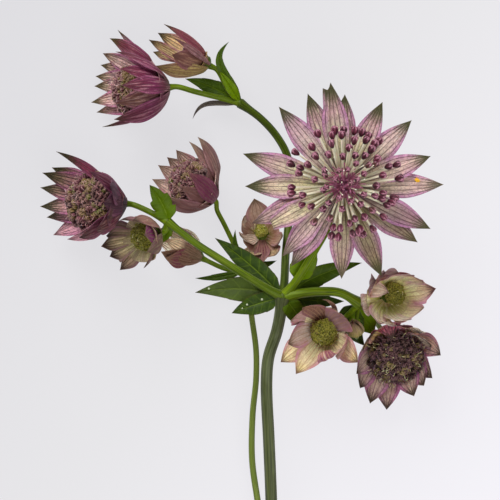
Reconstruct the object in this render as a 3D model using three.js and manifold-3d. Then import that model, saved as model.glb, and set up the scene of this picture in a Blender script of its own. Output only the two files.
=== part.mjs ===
// A cut spray of masterwort, lying down: one branching green stem, toothed leaves at its joints,
// and flower heads that each hold a ruff of papery bracts round a cushion of small florets.
// Lengths are in millimetres. The spray lies along Y, its upper side faces +Z.
import * as THREE from 'three'
import Module from 'manifold-3d'
import { mergeVertices } from 'three/addons/utils/BufferGeometryUtils.js'

const wasm = await Module()
wasm.setup()

// Driving dimensions of the stem.
const MAIN_RADIUS = 1.15
const SIDE_RADIUS = 0.55
const BRANCH_RADIUS = 0.82
const STEM_SIDES = 8
const PEDICEL_SIDES = 5
const PEDICEL_STRAIGHT_END = 1.4
const PEDICEL_TAPER = 0.95
const CUT_END_Y = -98

// Driving dimensions of bracts, florets and leaves.
const BRACT_THICKNESS = 0.7
const BRACT_SIDE_GAP = 0.08
const BRACT_LEAST_HALF_WIDTH = 0.2
const LAYER_STEP = 0.43
const RECEPTACLE_UP = 0.85
const RECEPTACLE_DOWN = 0.9
const RECEPTACLE_FOOT_RADIUS = 0.75
const RECEPTACLE_RIM = 0.5
const RECEPTACLE_SIDES = 7
const PIECE_GAP = 0.3
const FLORET_CORE_SIDES = 6
const BUD_HALF_WIDTH = 0.62
const BUD_HALF_LENGTH = 0.85
const STALKED_BUD_HALF_WIDTH = 0.71
const STALKED_BUD_HALF_LENGTH = 0.94
const FLORET_STALK_RADII = [0.26, 0.24]
const FLORET_STAGGER = 0.9
const CUSHION_SPREAD = 84
const CUSHION_BUD_OUT = 0.95
const CUSHION_BUD_UP = 0.92
const LEAF_THICKNESS = 0.64
const LEAF_ROOT_HALF_WIDTH = 0.35
const LEAF_NOTCH = 0.66
const LEAF_ROOT_SHARE = 0.12
const LEAF_SKEW = 0.9
const GOLDEN_ANGLE = Math.PI * (3 - Math.sqrt(5))

// Share of the full half width at each station along a bract, from root to tip.
const BRACT_OUTLINE = [[0, 0.42], [0.3, 0.78], [0.58, 1], [0.84, 0.56]]

const GREEN_CENTRED_HEADS = ['small_cup', 'right_cup', 'low_cup', 'back_star']

const COLOURS = {
  stem: '#586c18',
  leaf: '#3a4f21',
  bract: '#a5808f',
  floret: '#6d2c4a',
  greenFloret: '#7a7a26',
  bud: '#a58d80',
}

// Where the stem branches: the centre of each joint.
const JOINTS = {
  centre: { at: [7.6, 32.6, 14], radius: 1.3 },
  left: { at: [-15.5, 47.6, 13.8], radius: 0.85 },
  top: { at: [-1.1, 72, 5], radius: 0.9 },
  right: { at: [22.9, 31.3, 11.6], radius: 0.9 },
  back: { at: [-0.1, 37.9, 4.4], radius: 0.7 },
}

// Each flower head. `at` is its receptacle; `bearing` and `lean` turn its axis from straight up.
// `tips` holds each bract's tip as seen from above: bearing in degrees, distance in mm, and 1 if
// it stands above the receptacle or -1 if it hangs below. `reach` is the straight length of a
// bract, from which the tip's height follows; an open star has `rise` in its place.
const HEADS = {
  star: {
    at: [19, 54.3, 26], bearing: 90, lean: 3, rise: 0.12, ring: 1.6, width: 4.9, bowl: [0.45, 0.03],
    tips: [
      [1, 19.4, 1], [19, 17.9, 1], [44, 18.4, 1], [65, 18, 1], [89, 17.8, 1], [97, 20.2, 1],
      [111, 19.2, 1], [129, 19.8, 1], [162, 20.4, 1], [180, 19, 1], [202, 19.1, 1], [210, 15.3, 3],
      [229, 17.9, 1], [237, 18.5, 1], [269, 17.9, 1], [293, 18.9, 1], [323, 18, 1], [334, 18.8, 1],
    ],
    umbel: { count: 43, spread: 78, near: 7.5, far: 11.4, core: 2.2 },
  },
  left_cup: {
    at: [-24.9, 51.4, 12.5], bearing: 173, lean: 60, reach: 17.6, ring: 1.5, width: 4.6,
    bowl: [0.4, 0.17],
    tips: [
      [141, 15.9, 1], [153, 16.3, -1], [159, 17.3, -1], [169, 17, -1], [182, 16.8, -1],
      [190, 15.9, -1], [204, 15.7, -1], [217, 12.2, 1], [224, 10.2, 1], [235, 6.8, 1],
      [111, 3.1, 1], [189, 2.4, 1], [243, 3.7, 1], [133, 7.9, 1],
    ],
    dome: { count: 26, radius: 4.3, foot: 3.7, top: 6.4 },
  },
  small_cup: {
    at: [-18, 45.2, 15], bearing: 195, lean: 48, reach: 11.4, ring: 1.2, width: 3.8,
    bowl: [0.4, 0.15],
    tips: [
      [193, 11.2, -1], [206, 10.4, -1], [225, 10.3, -1], [255, 7, 1], [169, 8.7, -1],
      [157, 6.9, 1], [190, 2.8, 1], [148, 4.7, 1], [253, 3.8, 1], [182, 10.1, -1],
    ],
    dome: { count: 10, radius: 2.1, foot: 2.5, top: 3.9 },
  },
  upper_cup: {
    at: [-16.3, 74.9, 7.6], bearing: 187, lean: 68, reach: 16, ring: 1.5, width: 4.4,
    bowl: [0.36, 0.2],
    tips: [
      [129, 15.6, -1], [139, 14.2, 1], [150, 15, -1], [169, 14.8, -1], [177, 14.8, -1],
      [190, 15.5, -1], [198, 15, -1], [214, 14.8, 1], [216, 12, 1], [203, 10, 1],
      [184, 8.1, 1], [162, 8.9, 1], [146, 11.2, 1], [159, 14.5, -1],
    ],
    dome: { count: 18, radius: 3.6, foot: 4.4, top: 7.4 },
  },
  upper_bell: {
    at: [-8, 79.8, 7], bearing: 153, lean: 76, reach: 12.6, ring: 1.3, width: 4.4,
    bowl: [0.3, 0.22],
    tips: [
      [138, 11.2, 1], [146, 12, -1], [157, 12.6, -1], [165, 11.4, -1], [186, 9.9, 1],
      [172, 6.6, 1], [145, 7.5, 1], [154, 10.7, -1],
    ],
    dome: { count: 9, radius: 1.7, foot: 3.4, top: 5.2 },
  },
  back_cup: {
    at: [-7, 52.6, 5.34], bearing: 141, lean: 62, reach: 13.3, ring: 1.3, width: 4,
    bowl: [0.38, 0.17],
    tips: [
      [102, 12.5, 1], [126, 12.4, -1], [137, 12.5, -1], [148, 12.9, -1], [162, 12.8, -1],
      [179, 9.2, 1], [160, 6.1, 1], [132, 7.2, 1], [112, 9.7, 1], [172, 12.2, -1],
    ],
    dome: { count: 14, radius: 3, foot: 3.2, top: 5.4 },
  },
  back_bud: {
    at: [-9.5, 40.6, 4.2], bearing: 154, lean: 80, reach: 9.6, ring: 1, width: 3.6,
    bowl: [0.36, 0.22],
    tips: [
      [144, 9.9, -1], [158, 9.4, -1], [172, 7.6, 1], [140, 8, 1], [182, 6.5, 1], [152, 6, 1],
    ],
    dome: { count: 7, radius: 1.2, foot: 2.6, top: 4 },
  },
  back_star: {
    at: [3.4, 44.9, 3.2], bearing: 100, lean: 22, reach: 8.6, ring: 1.2, width: 3.6,
    bowl: [0.42, 0.1],
    tips: [
      [102, 7.7, 1], [131, 5.3, 1], [175, 4.5, 1], [232, 4.7, 1], [270, 5.7, 1], [306, 4.8, 1],
      [0, 4.2, 1], [64, 6, 1],
    ],
    dome: { count: 10, radius: 1.9, foot: 2.3, top: 3.7 },
  },
  right_cup: {
    at: [28.3, 32.5, 11], bearing: 10, lean: 26, reach: 12, ring: 1.2, width: 3.9,
    bowl: [0.42, 0.1],
    tips: [
      [11, 9.7, 1], [345, 7.2, 1], [318, 6.1, 1], [286, 5.5, 1], [250, 5.4, 1], [200, 5.5, 1],
      [162, 5.2, 1], [127, 5.3, 1], [98, 5.3, 1], [68, 5.5, 1], [40, 6.7, 1], [25, 7.6, 1],
    ],
    dome: { count: 12, radius: 2.3, foot: 2.6, top: 4.2 },
  },
  low_cup: {
    at: [16.6, 26.1, 12], bearing: 215, lean: 22, reach: 12.4, ring: 1.2, width: 4,
    bowl: [0.42, 0.1],
    tips: [
      [214, 11.5, 1], [233, 10.9, 1], [249, 6.3, 1], [282, 5.8, 1], [312, 8.4, 1],
      [198, 8.6, 1], [166, 7.8, 1], [140, 7, 1], [103, 6.3, 1], [5, 3.6, 1],
    ],
    dome: { count: 12, radius: 2.3, foot: 2.6, top: 4.2 },
  },
  dark_head: {
    at: [30.3, 22.1, 3.3], bearing: 280, lean: 24, reach: 12.4, ring: 1.4, width: 4,
    bowl: [0.42, 0.1],
    tips: [
      [352, 8.3, 1], [321, 8.5, 1], [307, 8.4, 1], [291, 9.3, 1], [263, 11.7, 1], [246, 11.3, 1],
      [228, 9.8, 1], [212, 8.7, 1], [181, 6.5, 1], [148, 5.8, 1], [110, 5, 1], [76, 5, 1],
      [35, 5.5, 1], [7, 7, 1],
    ],
    dome: { count: 26, radius: 4, foot: 3.7, top: 6.3 },
  },
}

// The stalk of each head: the points between its joint and the receptacle.
const PEDICELS = {
  star: {
    from: 'centre', radius: 0.85,
    via: [[10.1, 35.8, 15.5], [13.4, 41.2, 17.5], [16.5, 46.9, 20]],
  },
  left_cup: { from: 'left', via: [[-19.1, 49.6, 13]], radius: 0.62 },
  small_cup: { from: 'left', via: [], radius: 0.56 },
  upper_cup: { from: 'top', via: [[-5.5, 73.1, 5.4], [-10.2, 74.2, 6.4]], radius: 0.6 },
  upper_bell: { from: 'top', via: [[-3.6, 74.9, 5.8]], radius: 0.56 },
  back_cup: { from: 'back', via: [[-1.8, 42, 3.8], [-4.2, 47.4, 3.6]], radius: 0.52 },
  back_bud: { from: 'back', via: [[-3.6, 38, 4]], radius: 0.52 },
  back_star: { from: 'back', via: [[2.2, 39.8, 2]], radius: 0.52 },
  right_cup: { from: 'right', via: [[25.2, 30.9, 9.6]], radius: 0.56 },
  low_cup: { from: 'right', via: [[20.4, 28.6, 9.9]], radius: 0.56 },
  dark_head: { from: 'right', via: [[25.4, 28.9, 7.6], [27.8, 25.9, 1.5]], radius: 0.56 },
}

// The stretches of stem between the joints, by hand-chosen points.
const STEMS = [
  {
    radius: [MAIN_RADIUS, MAIN_RADIUS * 1.04], steps: 13, sides: STEM_SIDES,
    points: [
      [7.6, 32.6, 14], [6.4, 25.9, 12.6], [4.7, 20.4, 11.5], [4.3, 15.2, 10.5], [4.8, 3.3, 8.6],
      [5.3, -8.9, 6.8], [5.6, -21.3, 5.2], [5.9, -45, 2.9], [6.2, -70, 1.5], [6.5, CUT_END_Y, 1.12],
    ],
  },
  {
    radius: [SIDE_RADIUS * 1.2, SIDE_RADIUS], steps: 12, sides: PEDICEL_SIDES,
    points: [
      [5.6, -23.4, 5], [3.6, -16.2, 4.5], [2.5, -9.1, 4.4], [1.4, -0.9, 4.5], [1.5, 8.3, 4.8],
      [2.2, 15.5, 5.1], [2.2, 21.6, 5.3], [1.4, 27.7, 5.2], [0.7, 32.8, 4.8], [-0.1, 37.9, 4.4],
    ],
  },
  {
    radius: [BRANCH_RADIUS, 0.74], steps: 12, sides: PEDICEL_SIDES,
    points: [
      [7.6, 32.6, 14], [7.9, 36, 11.6], [8.2, 41, 7.8], [8.9, 48.1, 3.8], [9.4, 55.4, 1.4],
      [9, 61.6, 0.9], [7.1, 65.7, 1.6], [3.4, 69.1, 3.2], [-1.1, 72, 5],
    ],
  },
  {
    radius: [BRANCH_RADIUS, 0.68], steps: 8, sides: PEDICEL_SIDES,
    points: [
      [7.6, 32.6, 14], [4.9, 34.4, 14.8], [0.9, 37.1, 15.1], [-4.6, 41, 15], [-10, 44.2, 14.5],
      [-15.5, 47.6, 13.8],
    ],
  },
  {
    radius: [BRANCH_RADIUS, 0.8], steps: 7, sides: PEDICEL_SIDES,
    points: [
      [7.6, 32.6, 14], [10.9, 33.6, 14.9], [14.9, 34.1, 14.8], [19, 33.7, 13.6], [22.9, 31.3, 11.6],
    ],
  },
]

// The tiny unopened head under the right-hand joint.
const TINY_BUD = { at: [22.9, 25.6, 13.2], along: [-0.15, -0.62, 0.77], length: 4.2, radius: 1.35 }
const TINY_BUD_STALK = {
  points: [[22.9, 31.3, 11.6], [23.4, 28.4, 11], [22.9, 26.6, 11.9]], radii: [0.42, 0.36], steps: 5,
}

// Each leaf grows from its joint in the direction `from`, or starts at `root`, bends towards `via`
// and ends at `tip`.
const LEAVES = {
  leaf_upper_left: {
    joint: 'centre', from: [-0.6, 0.5, -0.62], width: 4.3, teeth: 4,
    via: [1.5, 39.2, 11.2], tip: [-6.1, 44.4, 12.4],
  },
  leaf_far_left: {
    joint: 'centre', from: [-0.75, 0.1, -0.65], width: 3.5, teeth: 4,
    via: [0.5, 33.8, 9.8], tip: [-10.1, 33.4, 11],
  },
  leaf_lower_left: {
    joint: 'centre', from: [-0.95, -0.3, -0.1], width: 3.4, teeth: 3,
    via: [1.8, 31.2, 13], tip: [-2.7, 29.3, 12.5],
  },
  leaf_right: {
    joint: 'centre', from: [0.7, 0.5, -0.5], width: 4.2, teeth: 4,
    via: [14, 37.6, 11.8], tip: [23.5, 39.4, 11],
  },
  leaf_under_branch: {
    joint: 'centre', from: [0.8, -0.3, -0.5], width: 3, teeth: 4,
    via: [14.5, 31.6, 11.6], tip: [20, 31.6, 8.6],
  },
  leaf_front: {
    joint: 'centre', from: [0.45, -0.5, 0.74], width: 3.2, teeth: 3,
    via: [9.2, 29.6, 16.2], tip: [8.6, 26.8, 15.4],
  },
  leaf_standing: {
    joint: 'centre', root: [10.4, 35.9, 14.1], width: 3.6, teeth: 3,
    via: [11.6, 38.8, 14.8], tip: [13.6, 41.6, 14.6],
  },
  leaf_left_joint: {
    joint: 'left', from: [0.2, 0.9, 0.4], width: 4.6, teeth: 3,
    via: [-16.2, 51.4, 15.4], tip: [-19, 54.9, 16.6],
  },
  leaf_left_low: {
    joint: 'left', from: [0.3, -0.42, -0.88], width: 2.4, teeth: 2,
    via: [-15.6, 45, 11.9], tip: [-17.1, 43.4, 11.6],
  },
  leaf_top_curl: {
    joint: 'top', from: [0.3, 0.85, 0.45], width: 2.2, teeth: 3,
    via: [-1.6, 79, 8.4], tip: [-3.3, 84.1, 9],
  },
  leaf_top_left: {
    joint: 'top', from: [-0.6, 0.45, -0.66], width: 3.4, teeth: 4,
    via: [-6, 75.6, 3.6], tip: [-12.3, 77, 4.2],
  },
  leaf_top_small: {
    joint: 'top', from: [-0.2, 0.6, 0.8], width: 1.9, teeth: 2,
    via: [-3.2, 75.4, 7.8], tip: [-5.2, 78.2, 8.6],
  },
  leaf_top_thread: {
    joint: 'top', from: [-0.75, -0.6, -0.2], width: 1.3, teeth: 2,
    via: [-8.4, 71.4, 4.6], tip: [-10.8, 68.9, 2.5],
  },
  leaf_right_joint: {
    joint: 'right', root: [22.8, 30.7, 9.8], width: 3, teeth: 3,
    via: [21.9, 26.6, 8.4], tip: [21.2, 23, 8.8],
  },
  leaf_back_up: {
    joint: 'back', from: [-0.4, 0.5, 0.77], width: 1.6, teeth: 3,
    via: [-2.6, 41.6, 7.4], tip: [-2, 46.1, 7.8],
  },
  leaf_back_left: {
    joint: 'back', from: [-0.7, -0.6, 0.4], width: 1.6, teeth: 3,
    via: [-5.4, 36, 4.6], tip: [-10.3, 36.2, 3.4],
  },
  leaf_back_right: {
    joint: 'back', from: [0.85, 0.3, 0.4], width: 1.8, teeth: 3,
    via: [3.4, 38.6, 5], tip: [6.4, 39.8, 3.6],
  },
}

function vector(values) {
  return new THREE.Vector3(values[0], values[1], values[2])
}

// A closed body from a list of points and triangles.
function closedGeometry(points, triangles) {
  const geometry = new THREE.BufferGeometry()
  const values = points.flatMap((point) => [point.x, point.y, point.z])
  geometry.setAttribute('position', new THREE.Float32BufferAttribute(values, 3))
  geometry.setIndex(triangles.flat())
  return geometry
}

function solidFrom(geometry) {
  const bare = geometry.clone()
  bare.deleteAttribute('normal')
  bare.deleteAttribute('uv')
  const merged = mergeVertices(bare, 1e-4)
  const vertProperties = new Float32Array(merged.getAttribute('position').array)
  const triVerts = new Uint32Array(merged.getIndex().array)
  return new wasm.Manifold(new wasm.Mesh({ numProp: 3, vertProperties, triVerts }))
}

function geometryFrom(solid) {
  const mesh = solid.getMesh()
  const geometry = new THREE.BufferGeometry()
  geometry.setAttribute('position', new THREE.BufferAttribute(new Float32Array(mesh.vertProperties), 3))
  geometry.setIndex(new THREE.BufferAttribute(new Uint32Array(mesh.triVerts), 1))
  return geometry
}

// Joins bodies two by two, so that each join stays small.
function joined(geometries) {
  let solids = geometries.map(solidFrom)
  while (solids.length > 1) {
    const next = []
    for (let i = 0; i < solids.length; i += 2) {
      next.push(i + 1 < solids.length ? solids[i].add(solids[i + 1]) : solids[i])
    }
    solids = next
  }
  return geometryFrom(solids[0])
}

function namedMesh(name, geometry, colour, roughness) {
  const material = new THREE.MeshStandardMaterial({ color: colour, roughness, metalness: 0 })
  const mesh = new THREE.Mesh(geometry, material)
  mesh.name = name
  return mesh
}

// A tapering round rod along points, as rings of equal sides with flat ends.
function rod(points, radii, steps, sides) {
  const curve = new THREE.CatmullRomCurve3(points.map(vector), false, 'centripetal')
  const rings = []
  let across = new THREE.Vector3(0, 0, 1)
  for (let step = 0; step <= steps; step += 1) {
    const share = step / steps
    const centre = curve.getPointAt(share)
    const along = curve.getTangentAt(share)
    across = across.clone().addScaledVector(along, -across.dot(along)).normalize()
    const third = new THREE.Vector3().crossVectors(along, across)
    const radius = THREE.MathUtils.lerp(radii[0], radii[1], share)
    rings.push(Array.from({ length: sides }, (unused, side) => {
      const turn = (side + 0.5) / sides * 2 * Math.PI
      const point = centre.clone().addScaledVector(across, radius * Math.cos(turn))
      return point.addScaledVector(third, radius * Math.sin(turn))
    }))
  }
  const triangles = []
  for (let ring = 0; ring < steps; ring += 1) {
    for (let side = 0; side < sides; side += 1) {
      const next = (side + 1) % sides
      const low = ring * sides
      const high = low + sides
      triangles.push([low + side, low + next, high + side])
      triangles.push([low + next, high + next, high + side])
    }
  }
  for (let side = 1; side < sides - 1; side += 1) {
    triangles.push([0, side + 1, side])
    triangles.push([steps * sides, steps * sides + side, steps * sides + side + 1])
  }
  return closedGeometry(rings.flat(), triangles)
}

// A blade with one flat face, a sharp edge at each side and a keel along its back. Each section
// holds its left edge, right edge and keel; the blade ends in a point.
function blade(sections, tip) {
  const points = sections.flat()
  const tipIndex = points.length
  points.push(tip)
  const triangles = []
  const last = (sections.length - 1) * 3
  for (let start = 0; start < last; start += 3) {
    for (const [side, next] of [[0, 1], [1, 2], [2, 0]]) {
      triangles.push([start + side, start + next, start + 3 + next])
      triangles.push([start + side, start + 3 + next, start + 3 + side])
    }
  }
  triangles.push([last, last + 1, tipIndex], [last + 1, last + 2, tipIndex], [last + 2, last, tipIndex])
  triangles.push([0, 2, 1])
  return closedGeometry(points, triangles)
}

function curvePoint(start, bend, end, share) {
  const rest = 1 - share
  return start.clone().multiplyScalar(rest * rest)
    .addScaledVector(bend, 2 * share * rest)
    .addScaledVector(end, share * share)
}

function curveSlope(start, bend, end, share) {
  return bend.clone().sub(start).multiplyScalar(1 - share)
    .add(end.clone().sub(bend).multiplyScalar(share)).normalize()
}

function headAxis(head) {
  const bearing = THREE.MathUtils.degToRad(head.bearing)
  const lean = THREE.MathUtils.degToRad(head.lean)
  return new THREE.Vector3(
    Math.sin(lean) * Math.cos(bearing), Math.sin(lean) * Math.sin(bearing), Math.cos(lean))
}

// A tip's place relative to the receptacle, with the height that its length leaves.
function tipPlace(head, tip) {
  const [degrees, distance, side] = tip
  const bearing = THREE.MathUtils.degToRad(degrees)
  const height = head.rise
    ? head.rise * distance * side
    : side * Math.sqrt(Math.max(0, head.reach ** 2 - distance ** 2))
  return new THREE.Vector3(distance * Math.cos(bearing), distance * Math.sin(bearing), height)
}

// Bracts in order round the axis, each with its turn, so that they can alternate in two layers.
function orderedBracts(head, axis) {
  const zero = new THREE.Vector3(0, 0, 1).addScaledVector(axis, -axis.z)
  if (zero.length() < 0.1) zero.set(1, 0, 0).addScaledVector(axis, -axis.x)
  zero.normalize()
  const quarter = new THREE.Vector3().crossVectors(axis, zero)
  const bracts = head.tips.map((tip) => {
    const place = tipPlace(head, tip)
    return { tip: place, turn: Math.atan2(place.dot(quarter), place.dot(zero)) }
  })
  return bracts.sort((first, second) => first.turn - second.turn)
}

// Half the angle that a bract may fill before it meets the next one of its own layer.
function freeTurn(bracts, index) {
  const count = bracts.length
  const after = bracts[(index + 2) % count].turn + (index + 2 >= count ? 2 * Math.PI : 0)
  const before = bracts[(index - 2 + count) % count].turn - (index < 2 ? 2 * Math.PI : 0)
  return Math.min(after - bracts[index].turn, bracts[index].turn - before) / 2
}

function bractBlade(head, axis, bract, layer, halfTurn) {
  const outward = bract.tip.clone().addScaledVector(axis, -bract.tip.dot(axis)).normalize()
  const sideways = new THREE.Vector3().crossVectors(axis, outward)
  const length = bract.tip.length()
  const root = outward.clone().multiplyScalar(head.ring)
  const bend = outward.clone().multiplyScalar(head.ring + head.bowl[0] * length)
  bend.addScaledVector(axis, head.bowl[1] * length)
  const sections = BRACT_OUTLINE.map(([share, part]) => {
    const slope = curveSlope(root, bend, bract.tip, share)
    const inward = new THREE.Vector3().crossVectors(slope, sideways)
    const centre = curvePoint(root, bend, bract.tip, share)
    centre.addScaledVector(inward, layer * LAYER_STEP * (1 - share * share))
    const offAxis = centre.clone().addScaledVector(axis, -centre.dot(axis)).length()
    const free = offAxis * Math.sin(Math.min(halfTurn, Math.PI / 2)) - BRACT_SIDE_GAP
    const half = Math.max(BRACT_LEAST_HALF_WIDTH, Math.min(head.width / 2 * part, free))
    const face = centre.clone().addScaledVector(inward, BRACT_THICKNESS / 2)
    return [
      face.clone().addScaledVector(sideways, half),
      face.clone().addScaledVector(sideways, -half),
      face.clone().addScaledVector(inward, -BRACT_THICKNESS),
    ]
  })
  return blade(sections, bract.tip.clone())
}

// A turned solid round the head's axis, from a profile of [radius, height] pairs.
function turned(profile, sides, axis) {
  const geometry = new THREE.LatheGeometry(profile.map(([x, y]) => new THREE.Vector2(x, y)), sides)
  geometry.applyQuaternion(new THREE.Quaternion().setFromUnitVectors(new THREE.Vector3(0, 1, 0), axis))
  return geometry
}

function bractRuff(head) {
  const axis = headAxis(head)
  const bracts = orderedBracts(head, axis)
  const blades = bracts.map((bract, index) => {
    const layer = index % 2 === 0 ? 1 : -1
    return bractBlade(head, axis, bract, layer, freeTurn(bracts, index))
  })
  const rim = head.ring + RECEPTACLE_RIM
  const receptacle = turned([
    [0, -RECEPTACLE_DOWN], [RECEPTACLE_FOOT_RADIUS, -RECEPTACLE_DOWN],
    [rim, -BRACT_THICKNESS / 2], [rim, RECEPTACLE_UP / 2],
    [head.ring * 0.7, RECEPTACLE_UP], [0, RECEPTACLE_UP],
  ], RECEPTACLE_SIDES, axis)
  return joined([receptacle, ...blades])
}

// One closed floret: a small eight-sided bud that points along `along`.
function budGeometry(centre, along, width, length) {
  const geometry = new THREE.OctahedronGeometry(1)
  geometry.scale(width, length, width)
  geometry.applyQuaternion(new THREE.Quaternion().setFromUnitVectors(new THREE.Vector3(0, 1, 0), along))
  geometry.translate(centre.x, centre.y, centre.z)
  return geometry
}

// Directions spread evenly over a cap round the axis, as florets sit in a head.
function capDirections(count, spread, axis) {
  const turnToAxis = new THREE.Quaternion().setFromUnitVectors(new THREE.Vector3(0, 0, 1), axis)
  const lowest = Math.cos(THREE.MathUtils.degToRad(spread))
  return Array.from({ length: count }, (unused, index) => {
    const up = 1 - (1 - lowest) * (index + 0.5) / count
    const flat = Math.sqrt(1 - up * up)
    const turn = index * GOLDEN_ANGLE
    const direction = new THREE.Vector3(flat * Math.cos(turn), flat * Math.sin(turn), up)
    return direction.applyQuaternion(turnToAxis)
  })
}

// Florets crowded on a low cushion, standing out of it.
function cushionFlorets(head) {
  const axis = headAxis(head)
  const { count, radius, foot, top } = head.dome
  const base = RECEPTACLE_UP + PIECE_GAP
  const core = turned([
    [0, base], [head.ring * 0.6, base], [radius * 0.92, foot], [radius * 0.8, (foot + top) / 2],
    [radius * 0.4, top - 0.25], [0, top - 0.2],
  ], FLORET_CORE_SIDES, axis)
  const centre = axis.clone().multiplyScalar(foot)
  const buds = capDirections(count, CUSHION_SPREAD, axis).map((direction) => {
    const up = direction.dot(axis)
    const flat = direction.clone().addScaledVector(axis, -up)
    const place = centre.clone().addScaledVector(flat, radius * CUSHION_BUD_OUT)
    place.addScaledVector(axis, up * (top - foot) * CUSHION_BUD_UP)
    return budGeometry(place, direction, BUD_HALF_WIDTH, BUD_HALF_LENGTH)
  })
  return joined([core, ...buds])
}

// Florets of the open star: each on its own stalk, spread like a pincushion.
function umbelFlorets(head) {
  const axis = headAxis(head)
  const { count, spread, near, far, core } = head.umbel
  const base = RECEPTACLE_UP + PIECE_GAP
  const centre = axis.clone().multiplyScalar(base + 0.4)
  const cushion = turned([
    [0, base], [core * 0.6, base], [core, base + 0.7], [core * 0.8, base + 1.9], [0, base + 2.5],
  ], FLORET_CORE_SIDES, axis)
  const pieces = capDirections(count, spread, axis).flatMap((direction, index) => {
    const share = index / count
    const stagger = FLORET_STAGGER * (index % 3) * (1 - share)
    const reach = THREE.MathUtils.lerp(near, far, share) - stagger
    const place = centre.clone().addScaledVector(direction, reach)
    const root = centre.clone().addScaledVector(direction, core * 0.35)
    const stalk = rod([root.toArray(), place.toArray()], FLORET_STALK_RADII, 1, 3)
    return [stalk, budGeometry(place, direction, STALKED_BUD_HALF_WIDTH, STALKED_BUD_HALF_LENGTH)]
  })
  return joined([cushion, ...pieces])
}

function flowerHead(name, head) {
  const group = new THREE.Group()
  group.position.set(...head.at)
  group.add(namedMesh(`${name}_bracts`, bractRuff(head), COLOURS.bract, 0.6))
  const florets = head.umbel ? umbelFlorets(head) : cushionFlorets(head)
  const colour = GREEN_CENTRED_HEADS.includes(name) ? COLOURS.greenFloret : COLOURS.floret
  group.add(namedMesh(`${name}_florets`, florets, colour, 0.7))
  return group
}

// The last two points of a stalk run along the head's axis to just under its receptacle.
function stalkPoints(name) {
  const { from, via } = PEDICELS[name]
  const head = HEADS[name]
  const axis = headAxis(head)
  const under = (distance) => vector(head.at).addScaledVector(axis, -distance).toArray()
  const end = RECEPTACLE_DOWN + PIECE_GAP
  return [JOINTS[from].at, ...via, under(end + PEDICEL_STRAIGHT_END), under(end)]
}

function stemBody() {
  const pieces = STEMS.map((stem) => rod(stem.points, stem.radius, stem.steps, stem.sides))
  for (const joint of Object.values(JOINTS)) {
    const knot = new THREE.IcosahedronGeometry(joint.radius, 0)
    knot.translate(...joint.at)
    pieces.push(knot)
  }
  for (const name of Object.keys(PEDICELS)) {
    const points = stalkPoints(name)
    const radius = PEDICELS[name].radius
    pieces.push(rod(points, [radius, radius * PEDICEL_TAPER], points.length + 2, PEDICEL_SIDES))
  }
  const along = vector(TINY_BUD.along).normalize()
  const end = vector(TINY_BUD.at).addScaledVector(along, -PIECE_GAP).toArray()
  const stalk = TINY_BUD_STALK
  pieces.push(rod([...stalk.points, end], stalk.radii, stalk.steps, PEDICEL_SIDES))
  return joined(pieces)
}

function tinyBud() {
  const { length, radius } = TINY_BUD
  const along = vector(TINY_BUD.along).normalize()
  const geometry = turned([
    [0, 0], [radius * 0.4, 0], [radius, length * 0.35], [radius * 0.8, length * 0.6],
    [radius * 0.25, length * 0.88], [0, length],
  ], FLORET_CORE_SIDES, along)
  const mesh = namedMesh('tiny_bud', geometry, COLOURS.bud, 0.7)
  mesh.position.set(...TINY_BUD.at)
  return mesh
}

// Half width of a toothed lance-shaped leaf: a smooth outline cut in by its teeth.
function leafHalfWidth(width, share, notch) {
  const outline = Math.sin(Math.PI * (LEAF_ROOT_SHARE + share * (1 - LEAF_ROOT_SHARE)) ** LEAF_SKEW)
  return width / 2 * outline * (notch ? LEAF_NOTCH : 1)
}

function leafBlade(leaf) {
  const joint = JOINTS[leaf.joint]
  const from = vector(leaf.from ?? [0, 0, 0]).normalize()
  const seat = vector(joint.at).addScaledVector(from, joint.radius + PIECE_GAP)
  const root = leaf.root ? vector(leaf.root) : seat
  const bend = vector(leaf.via)
  const tip = vector(leaf.tip)
  const stations = leaf.teeth * 2
  const sections = Array.from({ length: stations + 1 }, (unused, index) => {
    const share = index / (stations + 1)
    const slope = curveSlope(root, bend, tip, share)
    const up = new THREE.Vector3(0, 0, 1).addScaledVector(slope, -slope.z).normalize()
    const sideways = new THREE.Vector3().crossVectors(up, slope)
    const centre = curvePoint(root, bend, tip, share)
    const toothed = leafHalfWidth(leaf.width, share, index % 2 === 1)
    const half = index === 0 ? LEAF_ROOT_HALF_WIDTH : toothed
    const face = centre.clone().addScaledVector(up, LEAF_THICKNESS / 2)
    return [
      face.clone().addScaledVector(sideways, half),
      face.clone().addScaledVector(sideways, -half),
      face.clone().addScaledVector(up, -LEAF_THICKNESS),
    ]
  })
  return blade(sections, tip)
}

const spray = new THREE.Group()
spray.add(namedMesh('stem', stemBody(), COLOURS.stem, 0.55))
for (const [name, leaf] of Object.entries(LEAVES)) {
  spray.add(namedMesh(name, leafBlade(leaf), COLOURS.leaf, 0.5))
}
for (const [name, head] of Object.entries(HEADS)) {
  spray.add(flowerHead(name, head))
}
spray.add(tinyBud())

// The frame's origin is the middle of the spray's underside.
const bounds = new THREE.Box3().setFromObject(spray, true)
const middle = bounds.getCenter(new THREE.Vector3())
spray.position.set(-middle.x, -middle.y, -bounds.min.z)
spray.updateMatrixWorld(true)

const part = new THREE.Group()
part.add(spray)

export default part
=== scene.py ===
# A cut spray of masterwort, lying on a pale table under soft light and seen from straight above.
# The script follows the plant as it grew: the stem with its forks, the leaves at the joints, the ruffs
# of papery bracts, the florets inside them and the unopened bud. Lengths are in millimetres.
import math

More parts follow.
